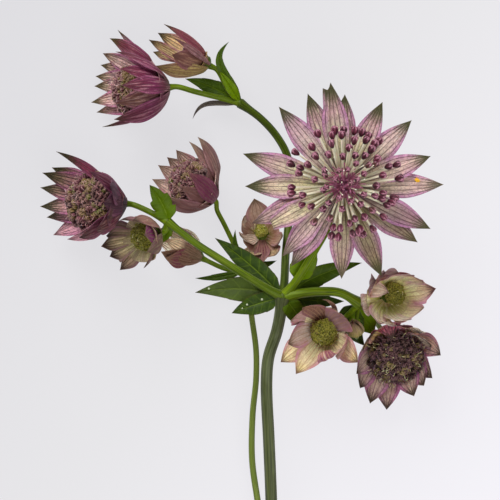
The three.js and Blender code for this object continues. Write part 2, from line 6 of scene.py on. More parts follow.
import bpy
import numpy as np
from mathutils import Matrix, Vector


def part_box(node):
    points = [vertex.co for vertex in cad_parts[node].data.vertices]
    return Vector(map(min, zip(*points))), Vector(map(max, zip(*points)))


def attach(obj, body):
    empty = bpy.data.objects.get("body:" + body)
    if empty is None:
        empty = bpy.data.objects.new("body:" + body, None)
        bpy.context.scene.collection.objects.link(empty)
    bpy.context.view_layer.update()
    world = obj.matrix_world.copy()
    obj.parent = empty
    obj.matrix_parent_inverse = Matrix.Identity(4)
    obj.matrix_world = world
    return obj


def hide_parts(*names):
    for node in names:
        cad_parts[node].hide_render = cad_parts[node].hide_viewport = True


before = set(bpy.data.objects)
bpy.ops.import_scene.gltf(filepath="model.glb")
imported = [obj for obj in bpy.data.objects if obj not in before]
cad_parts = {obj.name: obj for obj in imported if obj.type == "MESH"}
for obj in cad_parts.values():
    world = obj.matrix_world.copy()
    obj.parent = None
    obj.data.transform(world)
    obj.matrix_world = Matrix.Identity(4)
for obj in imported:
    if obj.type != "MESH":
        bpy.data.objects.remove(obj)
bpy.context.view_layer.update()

MM = 0.001


# The light table, the lamps and the viewpoint. The spray lies on a backlit sheet of opal acrylic, with
# one broad window beyond the flower end and a weaker one below; the eye is above the open flower.
EYE = (2.55, 47.34, 447.0)
SIGHT_HEIGHT = 27.0
SIGHT_WIDTH = 97.0
SENSOR_WIDTH = 36.0
TABLE_HALF_WIDTH = 3000.0
WINDOW_PLACE = (-260.0, 600.0, 560.0)
WINDOW_WIDTH = 620.0
WINDOW_WATTS = 7.2
FILL_PLACE = (250.0, -330.0, 760.0)
FILL_WIDTH = 700.0
FILL_WATTS = 4.4
SKY_STRENGTH = 0.24
EYE_REACH = (0.01, 20.0)
# The sheet's glow grows towards its lower right: how much less up than across, and from where to where.
GLOW_SLANT = -0.75
GLOW_ENDS = (-0.12, 0.055)


def linear(hex_colour):
    """Turns an sRGB hex colour into the linear one that the shaders work in."""
    channels = [int(hex_colour[start:start + 2], 16) / 255 for start in (1, 3, 5)]
    return [c / 12.92 if c <= 0.04045 else ((c + 0.055) / 1.055) ** 2.4 for c in channels] + [1.0]


def add_node(tree, kind, inputs=None, stops=None, **settings):
    """Adds one node, with its settings, its colour stops and the values or links of its sockets. A node
    given as a value is linked by its own first output in use."""
    node = tree.nodes.new("ShaderNode" + kind)
    for name, value in settings.items():
        setattr(node, name, value)
    if stops:
        elements = node.color_ramp.elements
        elements.remove(elements[1])
        elements[0].position = stops[0][0]
        elements[0].color = linear(stops[0][1])
        for position, colour in stops[1:]:
            elements.new(position).color = linear(colour)
    for socket, value in (inputs or {}).items():
        if isinstance(value, bpy.types.Node):
            value = next(output for output in value.outputs if output.enabled)
        if isinstance(value, bpy.types.NodeSocket):
            tree.links.new(value, node.inputs[socket])
        else:
            node.inputs[socket].default_value = value
    return node


def new_material(name):
    """An empty material and its node tree."""
    material = bpy.data.materials.new(name)
    material.use_nodes = True
    material.node_tree.nodes.clear()
    return material, material.node_tree


def opal_sheet():
    """Opal acrylic lit from behind: matt, with a soft glow that leaves shadows on it faint."""
    material, tree = new_material("opal_sheet")
    place = add_node(tree, "TexCoord").outputs["Object"]
    split = add_node(tree, "SeparateXYZ", {0: place})
    slant = add_node(
        tree, "Math", {0: split.outputs["Y"], 1: GLOW_SLANT, 2: split.outputs["X"]},
        operation="MULTIPLY_ADD")
    share = add_node(
        tree, "MapRange", {"Value": slant, "From Min": GLOW_ENDS[0], "From Max": GLOW_ENDS[1]})
    glow = add_node(
        tree, "ValToRGB", {0: share}, stops=[(0.0, "#d0cfd3"), (0.5, "#dad9dc"), (1.0, "#e9e7ed")])
    surface = add_node(
        tree, "BsdfPrincipled",
        {"Base Color": linear("#505050"), "Roughness": 0.8, "Specular IOR Level": 0.05,
         "Emission Color": glow, "Emission Strength": 1.0})
    add_node(tree, "OutputMaterial", {0: surface})
    return material


scene = bpy.context.scene
scene.view_settings.view_transform = "Standard"

eye = bpy.data.cameras.new("eye")
eye.sensor_width = SENSOR_WIDTH
eye.lens = SENSOR_WIDTH * (EYE[2] - SIGHT_HEIGHT) / SIGHT_WIDTH
eye.clip_start, eye.clip_end = EYE_REACH
camera = bpy.data.objects.new("eye", eye)
camera.location = [value * MM for value in EYE]
scene.collection.objects.link(camera)
scene.camera = camera

sky = bpy.data.worlds.new("even_sky")
sky.use_nodes = True
sky.node_tree.nodes.clear()
glow = add_node(sky.node_tree, "Background", {0: linear("#fafafc"), 1: SKY_STRENGTH})
add_node(sky.node_tree, "OutputWorld", {0: glow})
scene.world = sky

for name, place, width, watts in [
    ("window", WINDOW_PLACE, WINDOW_WIDTH, WINDOW_WATTS),
    ("fill", FILL_PLACE, FILL_WIDTH, FILL_WATTS),
]:
    light = bpy.data.lights.new(name, "AREA")
    light.shape = "DISK"
    light.size = width * MM
    light.energy = watts
    lamp = bpy.data.objects.new(name, light)
    lamp.location = [value * MM for value in place]
    aim = Vector((EYE[0] * MM, EYE[1] * MM, 0.0)) - lamp.location
    lamp.rotation_euler = aim.to_track_quat("-Z", "Y").to_euler()
    scene.collection.objects.link(lamp)

table_mesh = bpy.data.meshes.new("table")
reach = TABLE_HALF_WIDTH * MM
table_mesh.from_pydata(
    [(-reach, -reach, 0), (reach, -reach, 0), (reach, reach, 0), (-reach, reach, 0)], [], [(0, 1, 2, 3)])
table = bpy.data.objects.new("table", table_mesh)
table_mesh.materials.append(opal_sheet())
scene.collection.objects.link(table)


# The stem. Fresh green stem, faintly ribbed along its length, that forks at swollen joints into
# branches and thin flower stalks. It grew in one piece, so it is one mesh.

# Each joint: where it is and how thick.
JOINTS = {
    "centre": {"at": (7.6, 32.6, 14), "radius": 1.3},
    "left": {"at": (-15.5, 47.6, 13.8), "radius": 0.85},
    "top": {"at": (-1.1, 72, 5), "radius": 0.9},
    "right": {"at": (22.9, 31.3, 11.6), "radius": 0.9},
    "back": {"at": (-0.1, 37.9, 4.4), "radius": 0.7},
}
# Each flower head: where its receptacle sits, which way it looks and how far it leans from upright.
SEATS = {
    "star": {"at": (19, 54.3, 26), "bearing": 90, "lean": 3},
    "left_cup": {"at": (-24.9, 51.4, 12.5), "bearing": 173, "lean": 60},
    "small_cup": {"at": (-18, 45.2, 15), "bearing": 195, "lean": 48},
    "upper_cup": {"at": (-16.3, 74.9, 7.6), "bearing": 187, "lean": 68},
    "upper_bell": {"at": (-8, 79.8, 7), "bearing": 153, "lean": 76},
    "back_cup": {"at": (-7, 52.6, 5.34), "bearing": 141, "lean": 62},
    "back_bud": {"at": (-9.5, 40.6, 4.2), "bearing": 154, "lean": 80},
    "back_star": {"at": (3.4, 44.9, 3.2), "bearing": 100, "lean": 22},
    "right_cup": {"at": (28.3, 32.5, 11), "bearing": 10, "lean": 26},
    "low_cup": {"at": (16.6, 26.1, 12), "bearing": 215, "lean": 22},
    "dark_head": {"at": (30.3, 22.1, 3.3), "bearing": 280, "lean": 24},
}
# Each head's stalk: the joint that it leaves, its radius and the points on its way.
STALKS = {
    "star": ("centre", 0.85, [(10.1, 35.8, 15.5), (13.4, 41.2, 17.5), (16.5, 46.9, 20)]),
    "left_cup": ("left", 0.62, [(-19.1, 49.6, 13)]),
    "small_cup": ("left", 0.56, []),
    "upper_cup": ("top", 0.6, [(-5.5, 73.1, 5.4), (-10.2, 74.2, 6.4)]),
    "upper_bell": ("top", 0.56, [(-3.6, 74.9, 5.8)]),
    "back_cup": ("back", 0.52, [(-1.8, 42, 3.8), (-4.4, 47.4, 3.6), (-5.8, 50.2, 4)]),
    "back_bud": ("back", 0.52, [(-3.6, 38, 4)]),
    "back_star": ("back", 0.52, [(2.2, 39.8, 2)]),
    "right_cup": ("right", 0.56, [(25.2, 30.9, 9.6)]),
    "low_cup": ("right", 0.56, [(20.4, 28.6, 9.9)]),
    "dark_head": ("right", 0.56, [(25.4, 28.9, 7.6), (27.8, 25.9, 1.5)]),
}
# Each stretch of stem: its radius at both ends, how greyish its green is (darker, as painted shade,
# under the open flower), and its points.
STRETCHES = {
    "main": (1.15, 1.2, 1.0, [
        (7.6, 32.6, 14), (6.4, 25.9, 12.6), (4.7, 20.4, 11.5), (4.3, 15.2, 10.5), (4.8, 3.3, 8.6),
        (5.3, -8.9, 6.8), (5.6, -21.3, 5.2), (5.9, -45, 2.9), (6.2, -70, 1.5), (6.5, -98, 1.12)]),
    "second": (0.66, 0.55, 0.6, [
        (5.6, -23.4, 5), (3.6, -16.2, 4.5), (2.5, -9.1, 4.4), (1.4, -0.9, 4.5), (1.5, 8.3, 4.8),
        (2.2, 15.5, 5.1), (2.2, 21.6, 5.3), (1.4, 27.7, 5.2), (0.7, 32.8, 4.8), (-0.1, 37.9, 4.4)]),
    # Painted shade: this stretch runs under the open flower, so its tone is darker.
    "top": (0.82, 0.74, 0.4, [
        (7.6, 32.6, 14), (7.9, 36, 11.6), (8.2, 41, 7.8), (8.9, 48.1, 3.8), (9.4, 55.4, 1.4),
        (8.7, 61.2, 0.9), (6.6, 65.2, 1.6), (3.2, 68.9, 3.2), (-1.1, 72, 5)]),
    "left": (0.82, 0.68, 0.25, [
        (7.6, 32.6, 14), (4.9, 34, 14.8), (0.9, 36.4, 15.1), (-4.6, 39.9, 15), (-10, 43.4, 14.5),
        (-15.5, 47.6, 13.8)]),
    "right": (0.92, 0.86, 0.0, [
        (7.6, 32.6, 14), (10.9, 33.3, 14.9), (14.9, 33.7, 14.8), (19, 33.4, 13.6), (22.9, 31.3, 11.6)]),
}
TINY_BUD = {"at": (22.3, 24.9, 12.4), "along": (-0.14, 0.66, 0.74), "length": 5.5, "radius": 1.75}
TINY_STALK = [(22.9, 31.3, 11.6), (22.6, 28.6, 9.6), (22.4, 26, 9.2), (22.5, 24.4, 11)]
STEM_STEP = 0.5
STEM_SIDES = 36
BRANCH_SIDES = 30
RIBS = 9
RIB_HEIGHT = 0.045
# A stalk starts straight below its head, runs a little into the receptacle and swells there.
STALK_STEP = 0.4
STALK_SIDES = 18
STALK_RIBS = 6
STALK_END_GAP = 1.2
STALK_SUNK = 0.5
STALK_STRAIGHT = 1.4
BACK_STALK_STRAIGHT = 0.3
STALK_TAPER = 0.95
STALK_SWELL = 0.35
STALK_SWELL_LENGTH = 0.9
STALK_TONE = 0.15
FRESHEST_STALKS = ("star", "low_cup", "dark_head")
TINY_STALK_STEP = 0.35
TINY_STALK_SIDES = 14
TINY_STALK_RADII = (0.42, 0.4)
TINY_STALK_GAP = 0.05
# A joint is a ribbed bulb along the stem, and each branch widens into it.
JOINT_ALONG = (0.1, 0.9, 0.1)
JOINT_LENGTH = 1.15
JOINT_WIDTH = 1.08
JOINT_RINGS = 13
JOINT_SIDES = 20
JOINT_RIBS = 5
JOINT_RIB_HEIGHT = 0.05
JOINT_TONE = 0.35
JOINT_FLARE = 0.42
JOINT_FLARE_LENGTH = 1.7
JOINT_FLARE_POWER = 1.5
# How finely a path is worked out between two of its points, how steep counts as upright, and the angle
# between two faces (degrees) above which their edge stays sharp.
PATH_SAMPLES = 24
NEARLY_UPRIGHT = 0.9
SHARP_ANGLE = 55

# The open flower's widest and topmost bract tips, which say how far the frame lies from these sizes.
STAR_TIPS = {"east": (1, 19.4), "north": (97, 20.2), "raised": (15.3, 0.36)}


def frame_shift():
    """How far the frame's origin moved, from where the open flower's tips are in both."""
    at = SEATS["star"]["at"]
    east = at[0] + STAR_TIPS["east"][1] * math.cos(math.radians(STAR_TIPS["east"][0]))
    north = at[1] + STAR_TIPS["north"][1] * math.sin(math.radians(STAR_TIPS["north"][0]))
    top = at[2] + STAR_TIPS["raised"][0] * STAR_TIPS["raised"][1]
    return np.array(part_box("star_bracts")[1]) / MM - (east, north, top)


SHIFT = frame_shift()


def unit(vectors):
    """Vectors cut to a length of one."""
    vectors = np.asarray(vectors, float)
    return vectors / np.linalg.norm(vectors, axis=-1, keepdims=True)


def head_seat(name):
    """The place of a flower head's receptacle."""
    return np.array(SEATS[name]["at"], float)


def head_axis(name):
    """The direction that a flower head faces, from its bearing and its lean."""
    bearing = math.radians(SEATS[name]["bearing"])
    lean = math.radians(SEATS[name]["lean"])
    return np.array([
        math.sin(lean) * math.cos(bearing), math.sin(lean) * math.sin(bearing), math.cos(lean)])


def grown_path(points, step):
    """A smooth line through given points, centripetal so that it never loops, in equal steps."""
    points = np.array(points, float)
    padded = np.vstack([2 * points[0] - points[1], points, 2 * points[-1] - points[-2]])
    share = np.linspace(0, 1, PATH_SAMPLES, endpoint=False)[:, None]
    fine = []
    for before, start, end, after in zip(padded, padded[1:], padded[2:], padded[3:]):
        first, middle, last = [
            np.linalg.norm(q - p) ** 0.5 for p, q in ((before, start), (start, end), (end, after))]
        leave = (start - before) / first - (end - before) / (first + middle) + (end - start) / middle
        arrive = (end - start) / middle - (after - start) / (middle + last) + (after - end) / last
        fine.append(
            (2 * share ** 3 - 3 * share ** 2 + 1) * start
            + (share ** 3 - 2 * share ** 2 + share) * leave * middle
            + (3 * share ** 2 - 2 * share ** 3) * end
            + (share ** 3 - share ** 2) * arrive * middle)
    fine = np.vstack(fine + [points[-1:]])
    walked = np.concatenate([[0], np.cumsum(np.linalg.norm(np.diff(fine, axis=0), axis=1))])
    places = np.linspace(0, walked[-1], max(3, int(walked[-1] / step) + 1))
    return np.stack([np.interp(places, walked, fine[:, axis]) for axis in range(3)], axis=1), places


def tube(path, radii, sides, ribs=0, rib_height=0.0, **marks):
    """A closed rod along a path; `marks` are values that its material reads, one for the whole rod."""
    path = np.asarray(path, float)
    radii = np.broadcast_to(radii, len(path))
    slope = unit(np.gradient(path, axis=0))
    across = np.zeros_like(path)
    hint = np.array((0.0, 0.0, 1.0) if abs(slope[0][2]) < NEARLY_UPRIGHT else (1.0, 0.0, 0.0))
    for index, direction in enumerate(slope):
        hint = unit(hint - direction * (hint @ direction))
        across[index] = hint
    third = np.cross(slope, across)
    turn = np.arange(sides) * 2 * np.pi / sides
    spoke = np.cos(turn)[None, :, None] * across[:, None] + np.sin(turn)[None, :, None] * third[:, None]
    swell = 1 + rib_height * np.cos(ribs * turn)
    points = path[:, None] + spoke * (radii[:, None] * swell)[:, :, None]
    count = len(path) * sides
    index = np.arange(count).reshape(len(path), sides)
    after = np.roll(index, -1, axis=1)
    walked = np.concatenate([[0], np.cumsum(np.linalg.norm(np.diff(path, axis=0), axis=1))])
    around = np.stack([
        np.broadcast_to(np.cos(turn), index.shape), np.broadcast_to(np.sin(turn), index.shape),
        np.broadcast_to(walked[:, None], index.shape)], axis=-1)
    ends = np.array([(0, 0, 0), (0, 0, walked[-1])])
    made = {
        "points": np.vstack([points.reshape(-1, 3), path[:1], path[-1:]]),
        "quads": np.stack([index[:-1], after[:-1], after[1:], index[1:]], -1).reshape(-1, 4),
        "triangles": np.vstack([
            np.stack([after[0], index[0], np.full(sides, count)], -1),
            np.stack([index[-1], after[-1], np.full(sides, count + 1)], -1)]),
        "marks": {"around": np.vstack([around.reshape(-1, 3), ends])},
    }
    share = np.append(np.repeat(walked / walked[-1], sides), (0, 1))
    made["marks"]["along"] = share[:, None]
    for name, value in marks.items():
        made["marks"][name] = np.full((count + 2, 1), value)
    return made


def make_piece(name, shapes, material, slot, *nodes):
    """One piece from closed shapes. It rides on the spray and stands for these solids of the frame."""
    starts = np.cumsum([0] + [len(shape["points"]) for shape in shapes])
    faces = []
    for shape, start in zip(shapes, starts):
        faces += (shape["quads"] + start).tolist()
        faces += (shape["triangles"] + start).tolist()
    points = np.vstack([shape["points"] for shape in shapes]) + SHIFT
    mesh = bpy.data.meshes.new(name)
    mesh.from_pydata((points * MM).tolist(), [], faces)
    kinds = {1: ("FLOAT", "value"), 3: ("FLOAT_VECTOR", "vector"), 4: ("FLOAT_COLOR", "color")}
    for mark in shapes[0]["marks"]:
        values = np.vstack([shape["marks"][mark] for shape in shapes])
        kind, field = kinds[values.shape[1]]
        attribute = mesh.attributes.new(mark, kind, "POINT")
        attribute.data.foreach_set(field, values.astype(np.float32).ravel())
    mesh.shade_smooth()
    mesh.set_sharp_from_angle(angle=math.radians(SHARP_ANGLE))
    mesh.materials.append(material)
    piece = bpy.data.objects.new(name, mesh)
    scene.collection.objects.link(piece)
    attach(piece, "root")
    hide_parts(*nodes)
    return piece


def stem_skin():
    """Fresh stem skin: a thin waxy cuticle over wet green flesh, which gives a soft satin gloss along
    the ribs. The streaks follow the fibre bundles, about 0.3 mm apart round a 2.3 mm stem."""
    material, tree = new_material("stem_skin")
    tone = add_node(tree, "Attribute", attribute_name="tone").outputs["Fac"]
    around = add_node(tree, "Attribute", attribute_name="around").outputs["Vector"]
    fibre_place = add_node(tree, "VectorMath", {0: around, 1: (2.6, 2.6, 0.05)}, operation="MULTIPLY")
    fibre = add_node(tree, "TexNoise", {"Vector": fibre_place, "Scale": 1.6, "Detail": 3.0})
    blotch_place = add_node(tree, "VectorMath", {0: around, 1: (0.6, 0.6, 0.16)}, operation="MULTIPLY")
    blotch = add_node(tree, "TexNoise", {"Vector": blotch_place, "Scale": 1.0, "Detail": 2.0})
    # A tone near 0.45 gives the darkest greens; the stretch under the open flower takes it as painted
    # shade.
    green = add_node(
        tree, "ValToRGB", {0: tone},
        stops=[(0.0, "#76900a"), (0.3, "#5a6e0c"), (0.45, "#4a5a10"), (0.6, "#6a7830"),
               (1.0, "#565d38")])
    deep = add_node(
        tree, "ValToRGB", {0: tone},
        stops=[(0.0, "#506402"), (0.3, "#364604"), (0.45, "#2a3604"), (0.6, "#566424"),
               (1.0, "#393f24")])
    pale = add_node(
        tree, "ValToRGB", {0: tone},
        stops=[(0.0, "#94a42c"), (0.45, "#66761c"), (0.6, "#8a9650"), (1.0, "#78815c")])
    streaks = add_node(tree, "MapRange", {"Value": fibre, "From Min": 0.42, "From Max": 0.62})
    first = add_node(tree, "Mix", {0: streaks, 6: deep, 7: green}, data_type="RGBA")
    patches = add_node(
        tree, "MapRange", {"Value": blotch, "From Min": 0.5, "From Max": 0.8, "To Max": 0.55})
    second = add_node(tree, "Mix", {0: patches, 6: first, 7: pale}, data_type="RGBA")
    bump = add_node(tree, "Bump", {"Height": fibre, "Strength": 0.4, "Distance": 0.12 * MM})
    surface = add_node(
        tree, "BsdfPrincipled",
        {"Base Color": second, "Roughness": 0.42, "IOR": 1.42, "Normal": bump,
         "Specular IOR Level": 0.22, "Subsurface Weight": 0.1, "Subsurface Radius": (0.5, 0.8, 0.1),
         "Subsurface Scale": 0.5 * MM, "Sheen Weight": 0.14, "Sheen Roughness": 0.3})
    add_node(tree, "OutputMaterial", {0: surface})
    return material


def flared(radius_from, radius_to, places, ends):
    """A stem's radius along its length, widening into the joint at its start or its end, if wanted."""
    radii = np.interp(places, (0, places[-1]), (radius_from, radius_to))
    for wanted, distance in zip(ends, (places, places[-1] - places)):
        if wanted:
            fall = np.exp(-(distance / JOINT_FLARE_LENGTH) ** JOINT_FLARE_POWER)
            radii = radii * (1 + JOINT_FLARE * fall)
    return radii


def stem_shapes():
    """Every stretch, stalk and swollen joint of the stem."""
    shapes = []
    for name, (start, end, tone, points) in STRETCHES.items():
        path, places = grown_path(points, STEM_STEP)
        sides = STEM_SIDES if name == "main" else BRANCH_SIDES
        radii = flared(start, end, places, (name != "second", name != "main"))
        shapes.append(tube(path, radii, sides, RIBS, RIB_HEIGHT, tone=tone))
    for name, (joint, radius, via) in STALKS.items():
        axis = head_axis(name)
        at = head_seat(name)
        straight = BACK_STALK_STRAIGHT if joint == "back" else STALK_STRAIGHT
        last = [at - axis * (STALK_END_GAP + straight), at - axis * (STALK_END_GAP - STALK_SUNK)]
        path, places = grown_path([JOINTS[joint]["at"], *via, *last], STALK_STEP)
        radii = flared(radius, radius * STALK_TAPER, places, (True, False))
        radii = radii * (1 + STALK_SWELL * np.exp(-((places[-1] - places) / STALK_SWELL_LENGTH) ** 2))
        tone = 0.0 if name in FRESHEST_STALKS else STALK_TONE
        shapes.append(tube(path, radii, STALK_SIDES, STALK_RIBS, RIB_HEIGHT, tone=tone))
    end = np.array(TINY_BUD["at"]) - unit(TINY_BUD["along"]) * TINY_STALK_GAP
    path, places = grown_path([*TINY_STALK, end], TINY_STALK_STEP)
    radii = np.interp(places, (0, places[-1]), TINY_STALK_RADII)
    shapes.append(tube(path, radii, TINY_STALK_SIDES, tone=STALK_TONE))
    for joint in JOINTS.values():
        height = np.linspace(-1, 1, JOINT_RINGS)
        path = np.array(joint["at"]) + np.outer(height, JOINT_ALONG) * joint["radius"] * JOINT_LENGTH
        radii = np.sqrt(np.maximum(0.02, 1 - height ** 2)) * joint["radius"] * JOINT_WIDTH
        shapes.append(tube(path, radii, JOINT_SIDES, JOINT_RIBS, JOINT_RIB_HEIGHT, tone=JOINT_TONE))
    return shapes


make_piece("stem_skin", stem_shapes(), stem_skin(), "stem", "stem")


# The leaves. Each is one thin green blade, folded a little along its midrib, with few forward teeth
# and a dark brownish rim; it grew out of the joint that its base clasps.

# For each leaf: its joint and the way in which it leaves it, or its root; its width, the number and the
# depth of its teeth, the point that its middle is drawn towards, its tip, and its tone from yellow green
# (0) to bluish green (1). Some have a bow (mm), a purplish blush or a second lobe.
LEAVES = {
    "leaf_upper_left": {
        "joint": "centre", "from": (-0.6, 0.5, -0.62), "width": 4.6, "teeth": 4, "depth": 0.05,
        "via": (1.5, 39.2, 11.2), "tip": (-6.1, 44.4, 12.4), "tone": 1.0},
    "leaf_far_left": {
        "joint": "centre", "from": (-0.75, 0.1, -0.65), "width": 5.4, "teeth": 3, "depth": 0.05,
        "via": (0, 35.2, 9.8), "tip": (-10.1, 33.4, 11), "tone": 0.36, "blush": 0.1},
    "leaf_lower_left": {
        "joint": "centre", "from": (-0.95, -0.3, -0.1), "width": 4.4, "teeth": 3, "depth": 0.07,
        "via": (1.8, 31.2, 13), "tip": (-2.7, 29.3, 12.5), "tone": 0.95},
    "leaf_right": {
        "joint": "centre", "from": (0.7, 0.5, -0.5), "width": 4.3, "teeth": 4, "depth": 0.06,
        "via": (14, 37.6, 11.8), "tip": (23.5, 39.4, 11), "tone": 0.38},
    "leaf_under_branch": {
        "joint": "centre", "from": (0.8, -0.3, -0.5), "width": 3.2, "teeth": 4, "depth": 0.08,
        "via": (14.5, 31.6, 11.6), "tip": (20, 31.6, 8.6), "tone": 0.85},
    "leaf_front": {
        "joint": "centre", "from": (0.45, -0.5, 0.74), "width": 4.2, "teeth": 3, "depth": 0.08,
        "via": (10.2, 29.8, 15), "tip": (12.2, 26, 9.8), "tone": 0.3},
    # Painted light, partly: its yellowest tone also stands for light shining through it from behind.
    "leaf_standing": {
        "joint": "centre", "root": (10.4, 35.9, 14.1), "width": 5.2, "teeth": 3, "depth": 0.06,
        "via": (11.6, 39.4, 15.6), "tip": (14.4, 44.6, 15.2), "tone": 0.0},
    "leaf_left_joint": {
        "joint": "left", "from": (0.2, 0.9, 0.4), "width": 5.2, "teeth": 3, "depth": 0.3,
        "via": (-16.2, 51.4, 15.4), "tip": (-19, 54.9, 16.6), "tone": 0.2},
    "leaf_left_low": {
        "joint": "left", "from": (0.3, -0.42, -0.88), "width": 2.6, "teeth": 2, "depth": 0.2,
        "via": (-15.6, 45, 11.9), "tip": (-17.1, 43.4, 11.6), "tone": 0.15},
    "leaf_top_curl": {
        "joint": "top", "from": (0.3, 0.85, 0.45), "width": 1.9, "teeth": 3, "depth": 0.06,
        "via": (-1.6, 79, 8.4), "tip": (-3.3, 84.1, 9), "tone": 0.5, "bow": (-3.1, 0.3, 0)},
    "leaf_top_left": {
        "joint": "top", "from": (-0.6, 0.45, -0.66), "width": 3.6, "teeth": 4, "depth": 0.06,
        "via": (-6, 75.6, 3.6), "tip": (-12.3, 77, 4.2), "tone": 0.4},
    "leaf_top_small": {
        "joint": "top", "from": (-0.2, 0.6, 0.8), "width": 2.3, "teeth": 2, "depth": 0.1,
        "via": (-3.2, 75.4, 7.8), "tip": (-5.2, 78.2, 8.6), "tone": 0.0},
    "leaf_top_thread": {
        "joint": "top", "from": (-0.75, -0.6, -0.2), "width": 1.1, "teeth": 2, "depth": 0.06,
        "via": (-8.4, 71.4, 4.6), "tip": (-10.8, 68.9, 2.5), "tone": 0.6, "bow": (-0.3, 1.1, 0),
        "blush": 0.6},
    "leaf_right_joint": {
        "joint": "right", "root": (22.8, 30.7, 9.8), "width": 5.8, "teeth": 3, "depth": 0.16,
        "via": (19.6, 27.4, 8.4), "tip": (24.2, 22.6, 8.8), "tone": 0.8,
        "second": {
            "width": 6.4, "teeth": 2, "via": (23.6, 28.6, 9.2), "tip": (26.2, 24.8, 7.4), "tone": 0.05}},
    "leaf_back_up": {
        "joint": "back", "from": (-0.4, 0.5, 0.77), "width": 1.6, "teeth": 3, "depth": 0.1,
        "via": (-2.6, 41.6, 7.4), "tip": (-2, 46.1, 7.8), "tone": 0.5},
    "leaf_back_left": {
        "joint": "back", "from": (-0.7, -0.6, 0.4), "width": 1.6, "teeth": 3, "depth": 0.1,
        "via": (-5.4, 36, 4.6), "tip": (-10.3, 36.2, 3.4), "tone": 0.6},
    "leaf_back_right": {
        "joint": "back", "from": (0.85, 0.3, 0.4), "width": 1.8, "teeth": 3, "depth": 0.1,
        "via": (3.4, 38.6, 5), "tip": (6.4, 39.8, 3.6), "tone": 0.6},
}
LEAF_THICKNESS = 0.26
LEAF_FOLD = 0.28
LEAF_ROWS_PER_TOOTH = 14
LEAF_COLUMNS = 21
LEAF_TOOTH_LEAN = 0.07
LEAF_ROOT_DEPTH = 0.55
LEAF_ROOT_SHARE = 0.12
LEAF_SKEW = 0.9
LEAF_WAIST = ((0, 0.16), (0.35, 1))
LEAF_TEETH_START = (0.1, 0.3)
LEAF_LEAST_HALF = 0.02
LEAF_ROLL_OFF = 0.55
LEAF_EDGE_THINNING = 0.55
LEAF_THICKNESS_ALONG = ((0, 0.8, 1), (1.6, 1, 0.4))
LEAF_RIPPLE = 0.1
LEAF_RIPPLES = 11
LEAF_BOW_POWER = 1.3
# How far apart neighbouring blades are in the pattern that colours them (mm), so that no two match.
PATTERN_STEP = 7.3
MIDRIB_DEPTH = 0.09
MIDRIB_WIDTH = 0.1
VEIN_HEIGHT = 0.05
VEIN_LEAN = 0.7


def bent(start, bend, end, share):
    """Points on a line that leaves `start`, is drawn towards `bend` and ends at `end`."""
    share = share[:, None]
    return (1 - share) ** 2 * start + 2 * share * (1 - share) * bend + share ** 2 * end


def slab(upper, lower, marks):
    """A thin closed sheet between two grids of points, with a rim all round it. Each of its marks is one
    value, or one for each row, column or point, and a tuple of such makes a vector or a colour."""
    rows, columns = upper.shape[:2]
    count = rows * columns
    index = np.arange(count).reshape(rows, columns)
    top = np.stack([index[:-1, :-1], index[1:, :-1], index[1:, 1:], index[:-1, 1:]], -1).reshape(-1, 4)
    edge = np.concatenate([index[:-1, 0], index[-1, :-1], index[:0:-1, -1], index[0, :0:-1]])
    after = np.roll(edge, -1)
    rim = np.stack([after, edge, edge + count, after + count], -1)
    faces = {"face": np.repeat([[1.0], [0.0]], count, axis=0)}
    for name, values in marks.items():
        parts = values if isinstance(values, tuple) else (values,)
        flat = np.stack([np.broadcast_to(part, (rows, columns)).ravel() for part in parts], -1)
        faces[name] = np.vstack([flat, flat])
    return {
        "points": np.vstack([upper.reshape(-1, 3), lower.reshape(-1, 3)]),
        "quads": np.vstack([top, top[:, ::-1] + count, rim]),
        "triangles": np.zeros((0, 3), int),
        "marks": faces,
    }


